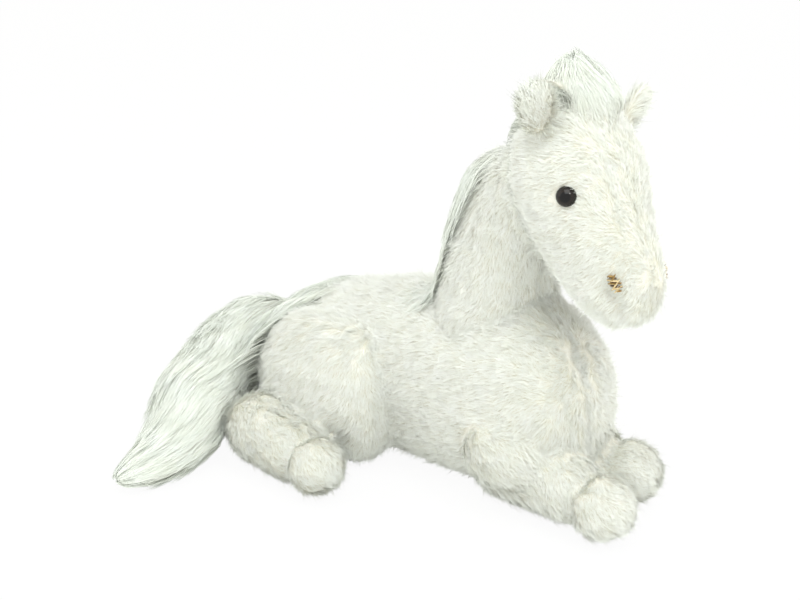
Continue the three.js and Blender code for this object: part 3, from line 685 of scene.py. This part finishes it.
def clumps(roots, draw, spacing):
    """The number of the clump that each root belongs to, and the root at the middle of each clump."""
    span = roots.max(axis=0) - roots.min(axis=0)
    around = 2 * (span[0] * span[1] + span[1] * span[2] + span[0] * span[2])
    wanted = min(len(roots), max(8, int(around / spacing**2)))
    centres = draw.choice(len(roots), wanted, replace=False)
    tree = kd_of(roots[centres])
    return np.array([tree.find(root)[1] for root in roots]), centres


def lay_pile(name, cloth, weights, nap, length, seed):
    """The sheared pile of one panel: short fibres that bend over with the nap and cling in clumps."""
    roots, normals, _ = rooted(cloth, weights, per_mm2(2.1), seed)
    draw = np.random.default_rng(seed)
    count = len(roots)
    roots = roots - normals * ROOT_DEPTH
    flow = nap(roots)
    flow = unit(flow - normals * (flow * normals).sum(axis=1, keepdims=True))
    angle = SWIRL * ripple(roots, SWIRL_SIZE, seed) + TOUSLE * ripple(roots, TOUSLE_SIZE, seed + 1)
    flow = turned(flow, normals, angle + draw.normal(0, STRAY, count))
    uneven = 1 + LENGTH_RIPPLE * ripple(roots, LENGTH_SIZE, seed + 2)
    lengths = length * draw.uniform(*LENGTH_RANGE, count) * uneven
    fly = draw.random(count) < FLYAWAY_SHARE
    lengths *= np.where(fly, FLYAWAY_REACH, 1.0)
    rise = np.where(fly, FLYAWAY_STAND, 0.0) + np.radians(draw.normal(0, STAND_SPREAD, count))
    stand = np.radians(STAND_DEGREES + STAND_RIPPLE * ripple(roots, STAND_SIZE, seed + 3)) + rise
    lie = LIE + rise
    first = flow * np.cos(stand)[:, None] + normals * np.sin(stand)[:, None]
    second = flow * np.cos(lie)[:, None] + normals * np.sin(lie)[:, None]
    middles = roots + first * lengths[:, None] * 0.5
    tips = middles + second * lengths[:, None] * 0.5
    own, centres = clumps(roots, draw, CLUMP_SPACING)
    pull = tips[centres[own]] - tips
    tips += pull * CLUMP_PULL
    middles += pull * CLUMP_PULL / 3
    paths = np.stack([roots, middles, tips], axis=1)
    paths[:, :, 2] = np.maximum(paths[:, :, 2], LOWEST_FIBRE)
    across = turned(unit(np.cross(flow, normals)), flow, draw.normal(0, FIBRE_TWIST, count))
    half_widths = np.tile([FIBRE_HALF_WIDTH, FIBRE_HALF_WIDTH * FIBRE_TAPER], (count, 1))
    pile = fibre_mesh(name, paths, half_widths, across, normals, draw.random(count))
    use_material(pile, SHORT_PILE)
    return pile


FLAT_SHARE, GATHER_POWER, LOCK_TWIST = 0.6, 1.6, 0.45
ROOT_LIFT, LIFT_GAIN, LEAST_LIFT = 0.3, 0.7, 0.2
LOCK_LENGTHS, LOCK_WIDTHS, LOCK_TAPER = (0.75, 1.1), (0.7, 1.2), 0.75


def grow_locks(name, roots, normals, start, guide, length, segments, tree, seed, comb):
    """Long fibres that leave the cloth, turn to follow a guide, lie over a surface and end in locks."""
    draw = np.random.default_rng(seed)
    count = len(roots)
    lengths = length * draw.uniform(*LOCK_LENGTHS, count)
    step = (lengths / segments)[:, None]
    heading = unit(start)
    path = [roots]
    for i in range(segments):
        risen = ROOT_LIFT + LIFT_GAIN * ((i + 1) / segments)
        low = comb["lift"] * risen * draw.uniform(LEAST_LIFT, 1, count)
        path.append(held_over(path[-1] + heading * step, tree, low, comb.get("top", comb["lift"] * 2)))
        heading = unit(heading * (1 - comb["turn"]) + unit(guide(path[-1])) * comb["turn"])
    path = np.stack(path, axis=1)
    own, centres = clumps(roots, draw, comb["spacing"])
    pull = path[centres[own], -1] - path[:, -1]
    flare = normals[centres[own]] * (comb["flare"] * draw.random(len(centres)) ** 2)[own][:, None]
    shares = (np.arange(segments + 1) / segments) ** GATHER_POWER
    path += (pull * comb["pull"] + flare)[:, None, :] * shares[None, :, None]
    path[:, :, 2] = np.maximum(path[:, :, 2], LOWEST_LOCK)
    tangents = unit(np.gradient(path, axis=1))
    middle = segments // 2
    outward = np.array([tree.find_nearest(Vector(p))[1] for p in path[:, middle]])
    across = unit(np.cross(tangents[:, middle], outward))
    across = turned(across, tangents[:, middle], draw.normal(0, LOCK_TWIST, count))
    taper = 1 - LOCK_TAPER * (np.arange(segments) / segments) ** 2
    half_widths = comb["half_width"] * taper[None] * draw.uniform(*LOCK_WIDTHS, (count, 1))
    flat = unit(np.cross(across[:, None, :], tangents))
    shading = unit(flat * FLAT_SHARE + unit(outward)[:, None, :] * (1 - FLAT_SHARE))
    locks = fibre_mesh(name, path, half_widths, across, shading, draw.random(count))
    use_material(locks, LONG_PILE)
    return locks


def held_over(points, tree, low, high):
    """Points moved along a surface's normals so that they lie between a low and a high height over it."""
    out = points.copy()
    for i, p in enumerate(points):
        place, normal, _, _ = tree.find_nearest(Vector(p))
        height = (Vector(p) - place).dot(normal)
        kept = min(max(height, low[i]), high)
        if kept != height:
            out[i] = p + np.array(normal) * (kept - height)
    return out


def toward(*direction):
    """A nap that runs in one direction all over."""
    return lambda points: np.tile(direction, (len(points), 1)).astype(float)


NOSE = np.array([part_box("head_filling")[1].x, CENTRE_Y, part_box("head_filling")[0].z + 20 * MM])


def off_the_nose(points):
    """The nap of the face runs back from the nose and down the cheeks."""
    away = unit(points - NOSE)
    away[:, 2] -= 0.75
    away[:, 0] -= 0.35
    return away


def to_the_hoof(key):
    """The nap of a leg runs along it and down to its hoof."""
    ends = FORMS[key][0][-1], FORMS[key][1][0]
    hoof, leg = (np.array(sum(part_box(node), Vector()) / 2) for node in ends)
    return toward(*(unit(hoof - leg) + [0, 0, -0.25]))


def off_the_poll(points):
    """The nap of an ear runs out to its tip."""
    poll = np.array([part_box("forelock")[0].x, CENTRE_Y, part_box("head_filling")[1].z - 20 * MM])
    return unit(points - poll)


NAPS = {"body": toward(-1, 0, -0.45), "neck": toward(-0.45, 0, -1), "head": off_the_nose}
NAPS["mane"] = toward(-0.5, 0, -0.85)
NAPS |= {key: toward(-0.35, 0, -1) for key in FORMS if key.startswith("thigh")}
NAPS |= {key: off_the_poll for key in FORMS if key.startswith("ear")}
NAPS |= {key: to_the_hoof(key) for key in FORMS if "leg" in key}
PILE_LENGTH, HEAD_PILE_LENGTH, EAR_PILE_LENGTH = 6.5 * MM, 6 * MM, 8.5 * MM
LENGTHS = {"head": HEAD_PILE_LENGTH, "ear_left": EAR_PILE_LENGTH, "ear_right": EAR_PILE_LENGTH}
FLOOR_BAND, FLOOR_SHARE, BURIED = 5 * MM, 0.4, 3 * MM


def add_piles(cloth, keys, others, body):
    """Lays the sheared pile on each panel of a skin."""
    points = cloth["points"]
    shows = shown(points, others, BURIED) * eye_clearing(points) * nostril_clearing(points)
    shows = shows * np.where(points[:, 2] < FLOOR_BAND, FLOOR_SHARE, 1.0)
    for key in keys:
        for panel in FORMS[key][0]:
            number = cloth["panels"].index(panel)
            weights = shows * (cloth["numbers"] == number)
            length = LENGTHS.get(key, PILE_LENGTH)
            seed = 100 + sum(ord(letter) for letter in panel)
            pile = lay_pile(f"pile_{panel}", cloth, weights, NAPS[key], length, seed)
            hold(pile, body, key)


def hold(piece, body, key):
    """Lets a piece move with its body; the cloth of the neck and the mane keeps its place, its transform
    applied.
    """
    if key in ("neck", "mane"):
        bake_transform(piece)
    else:
        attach(piece, body)


# The eyes


def axis_of(side):
    """The top of an eye's dome and the direction in which it looks."""
    eye = points_of(NODES[f"eye_{side}"])
    washer = points_of(NODES[f"eye_washer_{side}"])
    outward = unit(eye.mean(axis=0) - washer.mean(axis=0))
    axis_point = washer.mean(axis=0)
    top = ((eye - axis_point) @ outward).max()
    return Vector(axis_point + outward * top), Vector(outward)


EYES = {side: axis_of(side) for side in SIDES}
EYE_RADIUS, DOME_HEIGHT, EYE_RIM = 5.5 * MM, 4.8 * MM, 0.8 * MM
EYE_CLEARING = EYE_RADIUS + 1.2 * MM
SHANK_RADIUS, SHANK_LENGTH = 1.7 * MM, 12 * MM
DOME_STEPS, LATHE_STEPS, LATHE_WELD, LATHE_EDGE = 12, 48, 0.005 * MM, math.radians(40)


def eye_clearing(points):
    """No pile grows where an eye sits."""
    clear = np.ones(len(points))
    for top, outward in EYES.values():
        seat = np.array(top - outward * DOME_HEIGHT)
        clear *= np.linalg.norm(points - seat, axis=1) > EYE_CLEARING
    return clear


def turned_on_lathe(name, profile, seat, outward):
    """A round piece spun from a profile of (radius, height) and put on its seat."""
    bpy.ops.object.select_all(action="DESELECT")
    mesh = bpy.data.meshes.new(name)
    mesh.from_pydata([(r, 0, h) for r, h in profile], [(i, i + 1) for i in range(len(profile) - 1)], [])
    piece = link_new(name, mesh)
    select_only(piece)
    edit_all()
    bpy.ops.mesh.spin(steps=LATHE_STEPS, angle=2 * math.pi, center=(0, 0, 0), axis=(0, 0, 1))
    bpy.ops.mesh.remove_doubles(threshold=LATHE_WELD)
    bpy.ops.mesh.normals_make_consistent(inside=False)
    bpy.ops.object.mode_set(mode="OBJECT")
    bpy.ops.object.shade_smooth_by_angle(angle=LATHE_EDGE)
    radii = np.linalg.norm(points_of(piece)[:, :2], axis=1)
    write_attribute(piece.data, "from_axis", radii / EYE_RADIUS)
    piece.data.transform(outward.to_track_quat("Z", "Y").to_matrix().to_4x4())
    piece.data.transform(Matrix.Translation(seat))
    return piece


def add_eyes():
    """The moulded eyes: a glossy dome with a rounded rim on a shank, locked by a washer inside the head."""
    plastic, nylon = make_eye_plastic(), make_washer_plastic()
    for side, (top, outward) in EYES.items():
        dome = [
            (EYE_RADIUS * math.sin(a), DOME_HEIGHT * (math.cos(a) - 1))
            for a in (i * math.pi / 2 / DOME_STEPS for i in range(DOME_STEPS + 1))
        ]
        back = -DOME_HEIGHT - EYE_RIM
        rim = [(EYE_RADIUS, back + EYE_RIM / 2), (EYE_RADIUS - EYE_RIM / 2, back)]
        shank = [(SHANK_RADIUS, back), (SHANK_RADIUS, back - SHANK_LENGTH), (0, back - SHANK_LENGTH)]
        eye = turned_on_lathe(f"safety_eye_{side}", dome + rim + shank, top, outward)
        use_material(eye, plastic)
        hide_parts(f"eye_{side}")
        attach(eye, "head")
        use_material(NODES[f"eye_washer_{side}"], nylon)


# The nostrils and the mouth

NOSTRILS = {side: sum((np.array(c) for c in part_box(f"nostril_{side}")), np.zeros(3)) / 2 for side in SIDES}
NOSTRIL_CLEARING = 3.3 * MM
MOUTH_LINE_MM = [(-1.0, 0.0, -4.5), (1.4, 0.3, -8.7), (2.7, 2.4, -13.8), (3.4, 5.4, -19.3)]
MOUTH_FROM_NOSTRIL = np.array(MOUTH_LINE_MM) * MM
MOUTH_DEPTH, MOUTH_WIDTH, MOUTH_STEPS = 3.0 * MM, 2.6 * MM, 8
STITCH_SINK, STITCH_OVERLAP, STITCH_HALF_WIDTH = 0.7 * MM, 0.3 * MM, 0.55 * MM
STITCH_STRAY, STITCH_SPAN, STITCH_LENGTHENED, STITCH_THICKNESS = 0.1, 0.95, 1.1, 0.75
STITCH_LIFT, STITCH_LIFT_SPREAD = 0.2, 0.2


def nostril_clearing(points):
    """No pile grows where a nostril is embroidered."""
    clear = np.ones(len(points))
    for centre in NOSTRILS.values():
        clear *= np.linalg.norm(points - centre, axis=1) > NOSTRIL_CLEARING
    return clear


def crease_mouth(skin):
    """Draws the muzzle in along the mouth, a soft crease that runs down and inwards from each nostril."""
    points, normals = points_of(skin), normals_of(skin)
    line = []
    for side, sign in SIDES.items():
        corners = NOSTRILS[side] + MOUTH_FROM_NOSTRIL * [1, -sign, 1]
        for a, b in zip(corners[:-1], corners[1:]):
            line += [a + (b - a) * share for share in np.linspace(0, 1, MOUTH_STEPS)]
    away = np.linalg.norm(points[:, None] - np.array(line)[None], axis=2).min(axis=1)
    depth = MOUTH_DEPTH * np.exp(-((np.maximum(away - PILE_RISE, 0) / MOUTH_WIDTH) ** 2))
    move_points(skin, points - normals * depth[:, None])


def satin_stitch(seat, slant, out, sizes):
    """One stitch, a slim oval that lies along its slant."""
    bpy.ops.mesh.primitive_uv_sphere_add(segments=12, ring_count=8)
    stitch = bpy.context.object
    turn = Matrix([slant, np.cross(out, slant), out]).transposed().to_4x4()
    stitch.data.transform(Matrix.Translation(seat) @ turn @ Matrix.Diagonal((*sizes, 1)))
    bpy.ops.object.shade_smooth()
    return stitch


def add_nostrils():
    """The nostrils: slanting satin stitches of gold-brown and pale gold thread over a padded oval."""
    dark = make_thread("embroidery_thread_dark_brown", "4A3516", "7A5C2E")
    brown = make_thread("embroidery_thread_gold_brown", "7D6233", "B0904F")
    pale = make_thread("embroidery_thread_pale_gold", "CDB581", "EAD9B0")
    threads = [brown, dark, brown, pale, dark, brown, pale, dark, pale, pale, brown]
    slants = [0.6, 0.8, -0.5, 0.5, 0.9, 0.4, -0.7, 0.6, 0.3, -0.4, 0.5]
    for side in SIDES:
        oval = points_of(NODES[f"nostril_{side}"])
        centre = oval.mean(axis=0)
        long, wide, out = np.linalg.svd(oval - centre)[2]
        long = long * -np.sign(long[2])
        out = out * np.sign(out @ (centre - HEAD_MIDDLE))
        halves = (np.abs((oval - centre) @ axis).max() for axis in (long, wide, out))
        half_long, half_wide, half_thick = halves
        draw = np.random.default_rng(41)
        stitches = []
        for row, (thread, lean) in enumerate(zip(threads, slants)):
            place = (row + 0.5) / len(threads) * 2 - 1
            reach = half_wide * math.sqrt(1 - place**2) + STITCH_OVERLAP
            slant = unit(wide + long * lean + draw.normal(0, STITCH_STRAY, 3))
            lift = STITCH_LIFT + STITCH_LIFT_SPREAD * draw.random()
            height = half_thick * lift - STITCH_SINK
            seat = centre + long * place * half_long * STITCH_SPAN + out * height
            sizes = (reach * STITCH_LENGTHENED, STITCH_HALF_WIDTH, half_thick * STITCH_THICKNESS)
            stitch = satin_stitch(seat, slant, out, sizes)
            use_material(stitch, thread)
            stitches.append(stitch)
        select_only(*stitches)
        bpy.ops.object.join()
        nostril = bpy.context.view_layer.objects.active
        nostril.name = f"nostril_stitches_{side}"
        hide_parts(f"nostril_{side}")
        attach(nostril, "head")


# The middle of the head

HEAD_MIDDLE = np.array(sum(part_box("head_filling"), Vector()) / 2)


# The cloth of each form, with its pile

covers = {}
HEAD_NODES = FORMS["head"][0] + FORMS["head"][1]
torso = make_skin(TORSO, roots=HEAD_NODES, push=8 * MM)
head = make_skin(HEAD, smooth=6)
ear_cut = dict(inset=0.4 * MM, smooth=4, cap=0.8 * MM, roots=HEAD_NODES, push=6 * MM)
ears = {side: make_skin([f"ear_{side}"], **ear_cut) for side in SIDES}
ear_skins = [ear["skin"] for ear in ears.values()]
tail = make_skin(["tail"], inset=4 * MM)
divide(torso, TORSO, "root")
divide(head, HEAD, "head")
divide(tail, ["tail"], "tail")
for side in SIDES:
    divide(ears[side], [f"ear_{side}"], f"ear_{side}")
add_piles(torso, TORSO, [head["skin"], tail["skin"]], "root")
add_piles(head, ["head"], [torso["skin"], *ear_skins], "head")
for side in SIDES:
    add_piles(ears[side], [f"ear_{side}"], [head["skin"]], f"ear_{side}")


def tail_line():
    """The middle of the tail from its root to its tip, by slices along it."""
    points = points_of(NODES["tail_filling"])
    root = np.array(JOINTS["tail_swing"]["pos_m"])
    far = points[np.argmax(np.linalg.norm(points - root, axis=1))]
    share = (points - root) @ (far - root) / ((far - root) @ (far - root))
    slices = 10
    near = [np.abs(share - (i + 0.5) / slices) < 0.5 / slices for i in range(slices)]
    return np.array([root, *(points[own].mean(axis=0) for own in near), far])


def fade(away, end, over):
    """1 up close, falling to 0 at an end, over a width."""
    return np.clip((end - away) / over, 0, 1)


def near_panel(cloth, panel, reach):
    """1 on a panel, falling to 0 at a reach from it."""
    tree = kd_of(cloth["points"][cloth["numbers"] == cloth["panels"].index(panel)])
    return np.array([1 - min(1, tree.find(p)[2] / reach) for p in cloth["points"]])


TAIL_LINE = tail_line()


def toward_tip(points, ahead):
    """From each point to the tail's middle line, a few slices further on, and the nearest slice."""
    nearest = np.argmin(np.linalg.norm(points[:, None] - TAIL_LINE[None], axis=2), axis=1)
    return unit(TAIL_LINE[np.minimum(nearest + ahead, len(TAIL_LINE) - 1)] - points), nearest


def add_tail():
    """The tail's long pile, combed from its root down to a feathered point."""
    tangents = unit(np.gradient(TAIL_LINE, axis=0))

    def guide(points):
        inward, nearest = toward_tip(points, 2)
        gather = 0.5 + 1.5 * (nearest / len(TAIL_LINE)) ** 2
        return tangents[nearest] + inward * gather[:, None]

    roots, normals, _ = rooted(tail, np.ones(len(tail["points"])), per_mm2(0.76), 301)
    start = guide(roots) + normals * 0.45
    reach = np.minimum(36 * MM, np.linalg.norm(TAIL_LINE[-1] - roots, axis=1) * 0.85 + 9 * MM)
    comb = dict(lift=4 * MM, turn=0.5, spacing=11 * MM, pull=0.45, half_width=0.19 * MM, flare=3.5 * MM)
    tree = bvh_of(tail["skin"])
    locks = grow_locks("tail_hair", roots, normals, start, guide, reach, 6, tree, 302, comb)
    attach(locks, "tail")


def add_tail_head():
    """The long pile over the root of the tail, which runs from the rump down onto the tail."""
    points, root = torso["points"], TAIL_LINE[0]
    away = np.linalg.norm(points - root, axis=1)
    weights = fade(away, 80 * MM, 24 * MM) * shown(points, [tail["skin"]], 2 * MM)
    weights *= points[:, 2] > 30 * MM
    roots, normals, _ = rooted(torso, weights, per_mm2(1.3), 331)

    def guide(points):
        return toward_tip(points, 5)[0]

    start = guide(roots) + normals * 0.5
    comb = dict(lift=5 * MM, turn=0.35, spacing=9 * MM, pull=0.3, half_width=0.18 * MM, flare=2 * MM)
    tree = bvh_of(torso["skin"], tail["skin"])
    locks = grow_locks("tail_head_hair", roots, normals, start, guide, 38 * MM, 6, tree, 332, comb)
    root, onto = Vector(root), Vector(unit(TAIL_LINE[4] - root))
    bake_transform(locks)


def add_mane():
    """The mane: locks rooted along the crest that fall back and down both sides of the neck."""
    weights = near_panel(torso, "mane", 18 * MM) * shown(torso["points"], [head["skin"]], 2 * MM)
    roots, normals, _ = rooted(torso, weights, per_mm2(1.3), 311)
    jitter = np.random.default_rng(313).normal(0, 0.35, len(roots))

    def guide(points):
        side = np.clip((points[:, 1] - CENTRE_Y) / (9 * MM) + jitter, -1, 1)
        return np.stack([np.full(len(points), -0.3), side * 0.5, np.full(len(points), -0.85)], axis=1)

    start = normals * 0.5 + unit(guide(roots)) * 0.8
    comb = dict(lift=2.5 * MM, turn=0.45, spacing=8 * MM, pull=0.3, half_width=0.17 * MM, flare=2 * MM)
    comb["top"] = 4.5 * MM
    tree = bvh_of(torso["skin"])
    locks = grow_locks("mane_hair", roots, normals, start, guide, 24 * MM, 5, tree, 312, comb)
    hold(locks, "root", "mane")


SIDE_WISP = np.array([-8, -8, 3]) * MM


def add_forelock():
    """The forelock: two locks of long pile that rise from the poll and sweep back over the right ear."""
    shape = points_of(NODES["forelock"])
    tips = np.array([shape[np.argmax(shape[:, 2])], shape[np.argmin(shape[:, 1])] + SIDE_WISP])
    weights = near_panel(head, "forelock", 6 * MM) * shown(head["points"], ear_skins, MM)
    roots, normals, _ = rooted(head, weights, per_mm2(2.6), 321)
    away = np.linalg.norm(roots[:, None] - tips[None], axis=2)
    spread = np.random.default_rng(323).normal(0, 2.5 * MM, (len(roots), 3))
    own_tip, to_tip = tips[np.argmin(away, axis=1)] + spread, away.min(axis=1)

    def guide(points):
        return unit(own_tip - points)

    start = guide(roots) + normals * 0.5
    reach = np.minimum(20 * MM, to_tip * 0.95 + 3 * MM)
    comb = dict(lift=2 * MM, turn=0.4, spacing=6 * MM, pull=0.3, half_width=0.13 * MM, flare=3 * MM)
    comb["top"] = 60 * MM
    tree = bvh_of(head["skin"])
    locks = grow_locks("forelock_hair", roots, normals, start, guide, reach, 6, tree, 322, comb)
    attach(locks, "head")


POLL = np.array(sum((Vector(JOINTS[f"ear_{side}_fold"]["pos_m"]) for side in SIDES), Vector()) / 2)


def add_topknot():
    """The longer pile behind the ears and down the back of the head, where the mane starts."""
    points = head["points"]
    away = np.linalg.norm(points - POLL, axis=1)
    weights = fade(away, 44 * MM, 14 * MM) * fade(points[:, 0], POLL[0] + 6 * MM, 10 * MM)
    weights *= fade(np.abs(points[:, 1] - POLL[1]), 24 * MM, 10 * MM)
    weights *= shown(points, [*ear_skins, torso["skin"]], MM)
    roots, normals, thickness = rooted(head, weights, per_mm2(1.6), 341)

    def guide(places):
        return unit(places - POLL) * 0.5 + [-0.5, -0.1, -0.6]

    start = normals * 0.6 + unit(guide(roots)) * 0.7
    reach = (7 + 15 * thickness) * MM
    comb = dict(lift=2.5 * MM, turn=0.35, spacing=6 * MM, pull=0.25, half_width=0.17 * MM, flare=MM)
    tree = bvh_of(head["skin"])
    locks = grow_locks("topknot_hair", roots, normals, start, guide, reach, 4, tree, 342, comb)
    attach(locks, "head")


add_tail()
add_tail_head()
add_mane()
add_forelock()
add_topknot()
for key, part in covers.items():
    hold(part["cover"], part["body"], key)
add_eyes()
add_nostrils()
for cloth in (torso, head, tail, *ears.values()):
    bpy.data.objects.remove(cloth["skin"])


# Light, floor and camera

CAMERA_AZIMUTH, CAMERA_ELEVATION, CAMERA_DISTANCE = math.radians(44.5), math.radians(20), 900 * MM
CAMERA_TARGET = Vector((-64.65, 64.21, 75)) * MM
CAMERA_LENS, SENSOR_WIDTH, CLIP_START, CLIP_END = 60.75, 36, 10 * MM, 20
STUDIO_LIGHT = 0.95
LAMP_AIM = Vector((0, CENTRE_Y, 100 * MM))


def backdrop_rays(tree):
    """1 for rays that see the white backdrop: from the camera, off glossy pieces and through clear ones."""
    path = add_node(tree, "ShaderNodeLightPath")
    seen = path.outputs["Is Camera Ray"]
    for kind in ("Is Transmission Ray", "Is Glossy Ray"):
        links = {0: seen, 1: path.outputs[kind]}
        seen = add_node(tree, "ShaderNodeMath", operation="MAXIMUM", links=links).outputs[0]
    return seen


def backdrop_world():
    """Even studio light with a white backdrop."""
    world = bpy.data.worlds.new("studio")
    bpy.context.scene.world = world
    world.use_nodes = True
    tree = world.node_tree
    tree.nodes.clear()
    light = add_node(tree, "ShaderNodeBackground", {"Color": linear("FCFBF7"), "Strength": STUDIO_LIGHT})
    white = add_node(tree, "ShaderNodeBackground", inputs={"Color": (1, 1, 1, 1), "Strength": 1.0})
    links = {0: backdrop_rays(tree), 1: light.outputs[0], 2: white.outputs[0]}
    mix = add_node(tree, "ShaderNodeMixShader", links=links)
    add_node(tree, "ShaderNodeOutputWorld", links={"Surface": mix.outputs[0]})


def softbox(name, place, width, power, colour):
    """A square area lamp that faces the horse."""
    lamp = bpy.data.lights.new(name, "AREA")
    lamp.size, lamp.energy = width, power
    lamp.color = linear(colour)[:3]
    obj = link_new(name, lamp)
    obj.location = place
    obj.rotation_euler = (LAMP_AIM - Vector(place)).to_track_quat("-Z", "Y").to_euler()


FLOOR_GLOW, FLOOR_SIZE, FLOOR_GAP = 0.95, 6, 0.5 * MM


def add_floor():
    """A pale floor that keeps a faint contact shadow and meets the white backdrop."""
    bpy.ops.mesh.primitive_plane_add(size=FLOOR_SIZE, location=(0, 0, -FLOOR_GAP))
    floor = bpy.context.object
    floor.name = "floor"
    material = bpy.data.materials.new("white_studio_floor")
    material.use_nodes = True
    tree = material.node_tree
    tree.nodes.clear()
    lit = add_node(tree, "ShaderNodeBsdfDiffuse", inputs={"Color": linear("FAFBF9")})
    glow = add_node(tree, "ShaderNodeEmission", inputs={"Color": (1, 1, 1, 1), "Strength": 1.0})
    seen = add_node(tree, "ShaderNodeMath", {1: FLOOR_GLOW}, {0: backdrop_rays(tree)}, operation="MULTIPLY")
    links = {0: seen.outputs[0], 1: lit.outputs[0], 2: glow.outputs[0]}
    mix = add_node(tree, "ShaderNodeMixShader", links=links)
    add_node(tree, "ShaderNodeOutputMaterial", links={"Surface": mix.outputs[0]})
    use_material(floor, material)


def add_camera():
    """The camera at the photograph's viewing angle."""
    level = Vector((math.sin(CAMERA_AZIMUTH), -math.cos(CAMERA_AZIMUTH), 0))
    back = level * math.cos(CAMERA_ELEVATION) + UP * math.sin(CAMERA_ELEVATION)
    camera = link_new("camera", bpy.data.cameras.new("camera"))
    camera.location = CAMERA_TARGET + back * CAMERA_DISTANCE
    camera.rotation_euler = (-back).to_track_quat("-Z", "Y").to_euler()
    camera.data.lens, camera.data.sensor_width = CAMERA_LENS, SENSOR_WIDTH
    camera.data.clip_start, camera.data.clip_end = CLIP_START, CLIP_END
    bpy.context.scene.camera = camera


bpy.ops.object.select_all(action="DESELECT")
backdrop_world()
softbox("key_softbox", (0.55, -0.45, 1.5), width=1.3, power=12.5, colour="FAFFFD")
softbox("eye_glint_lamp", (1.2, -0.2, 1.1), width=0.25, power=2.5, colour="FFFFFC")
softbox("fill_softbox", (-0.9, -1.0, 0.7), width=1.2, power=1.5, colour="F6FBFF")
add_floor()
add_camera()
bpy.context.scene.view_settings.view_transform = "Standard"
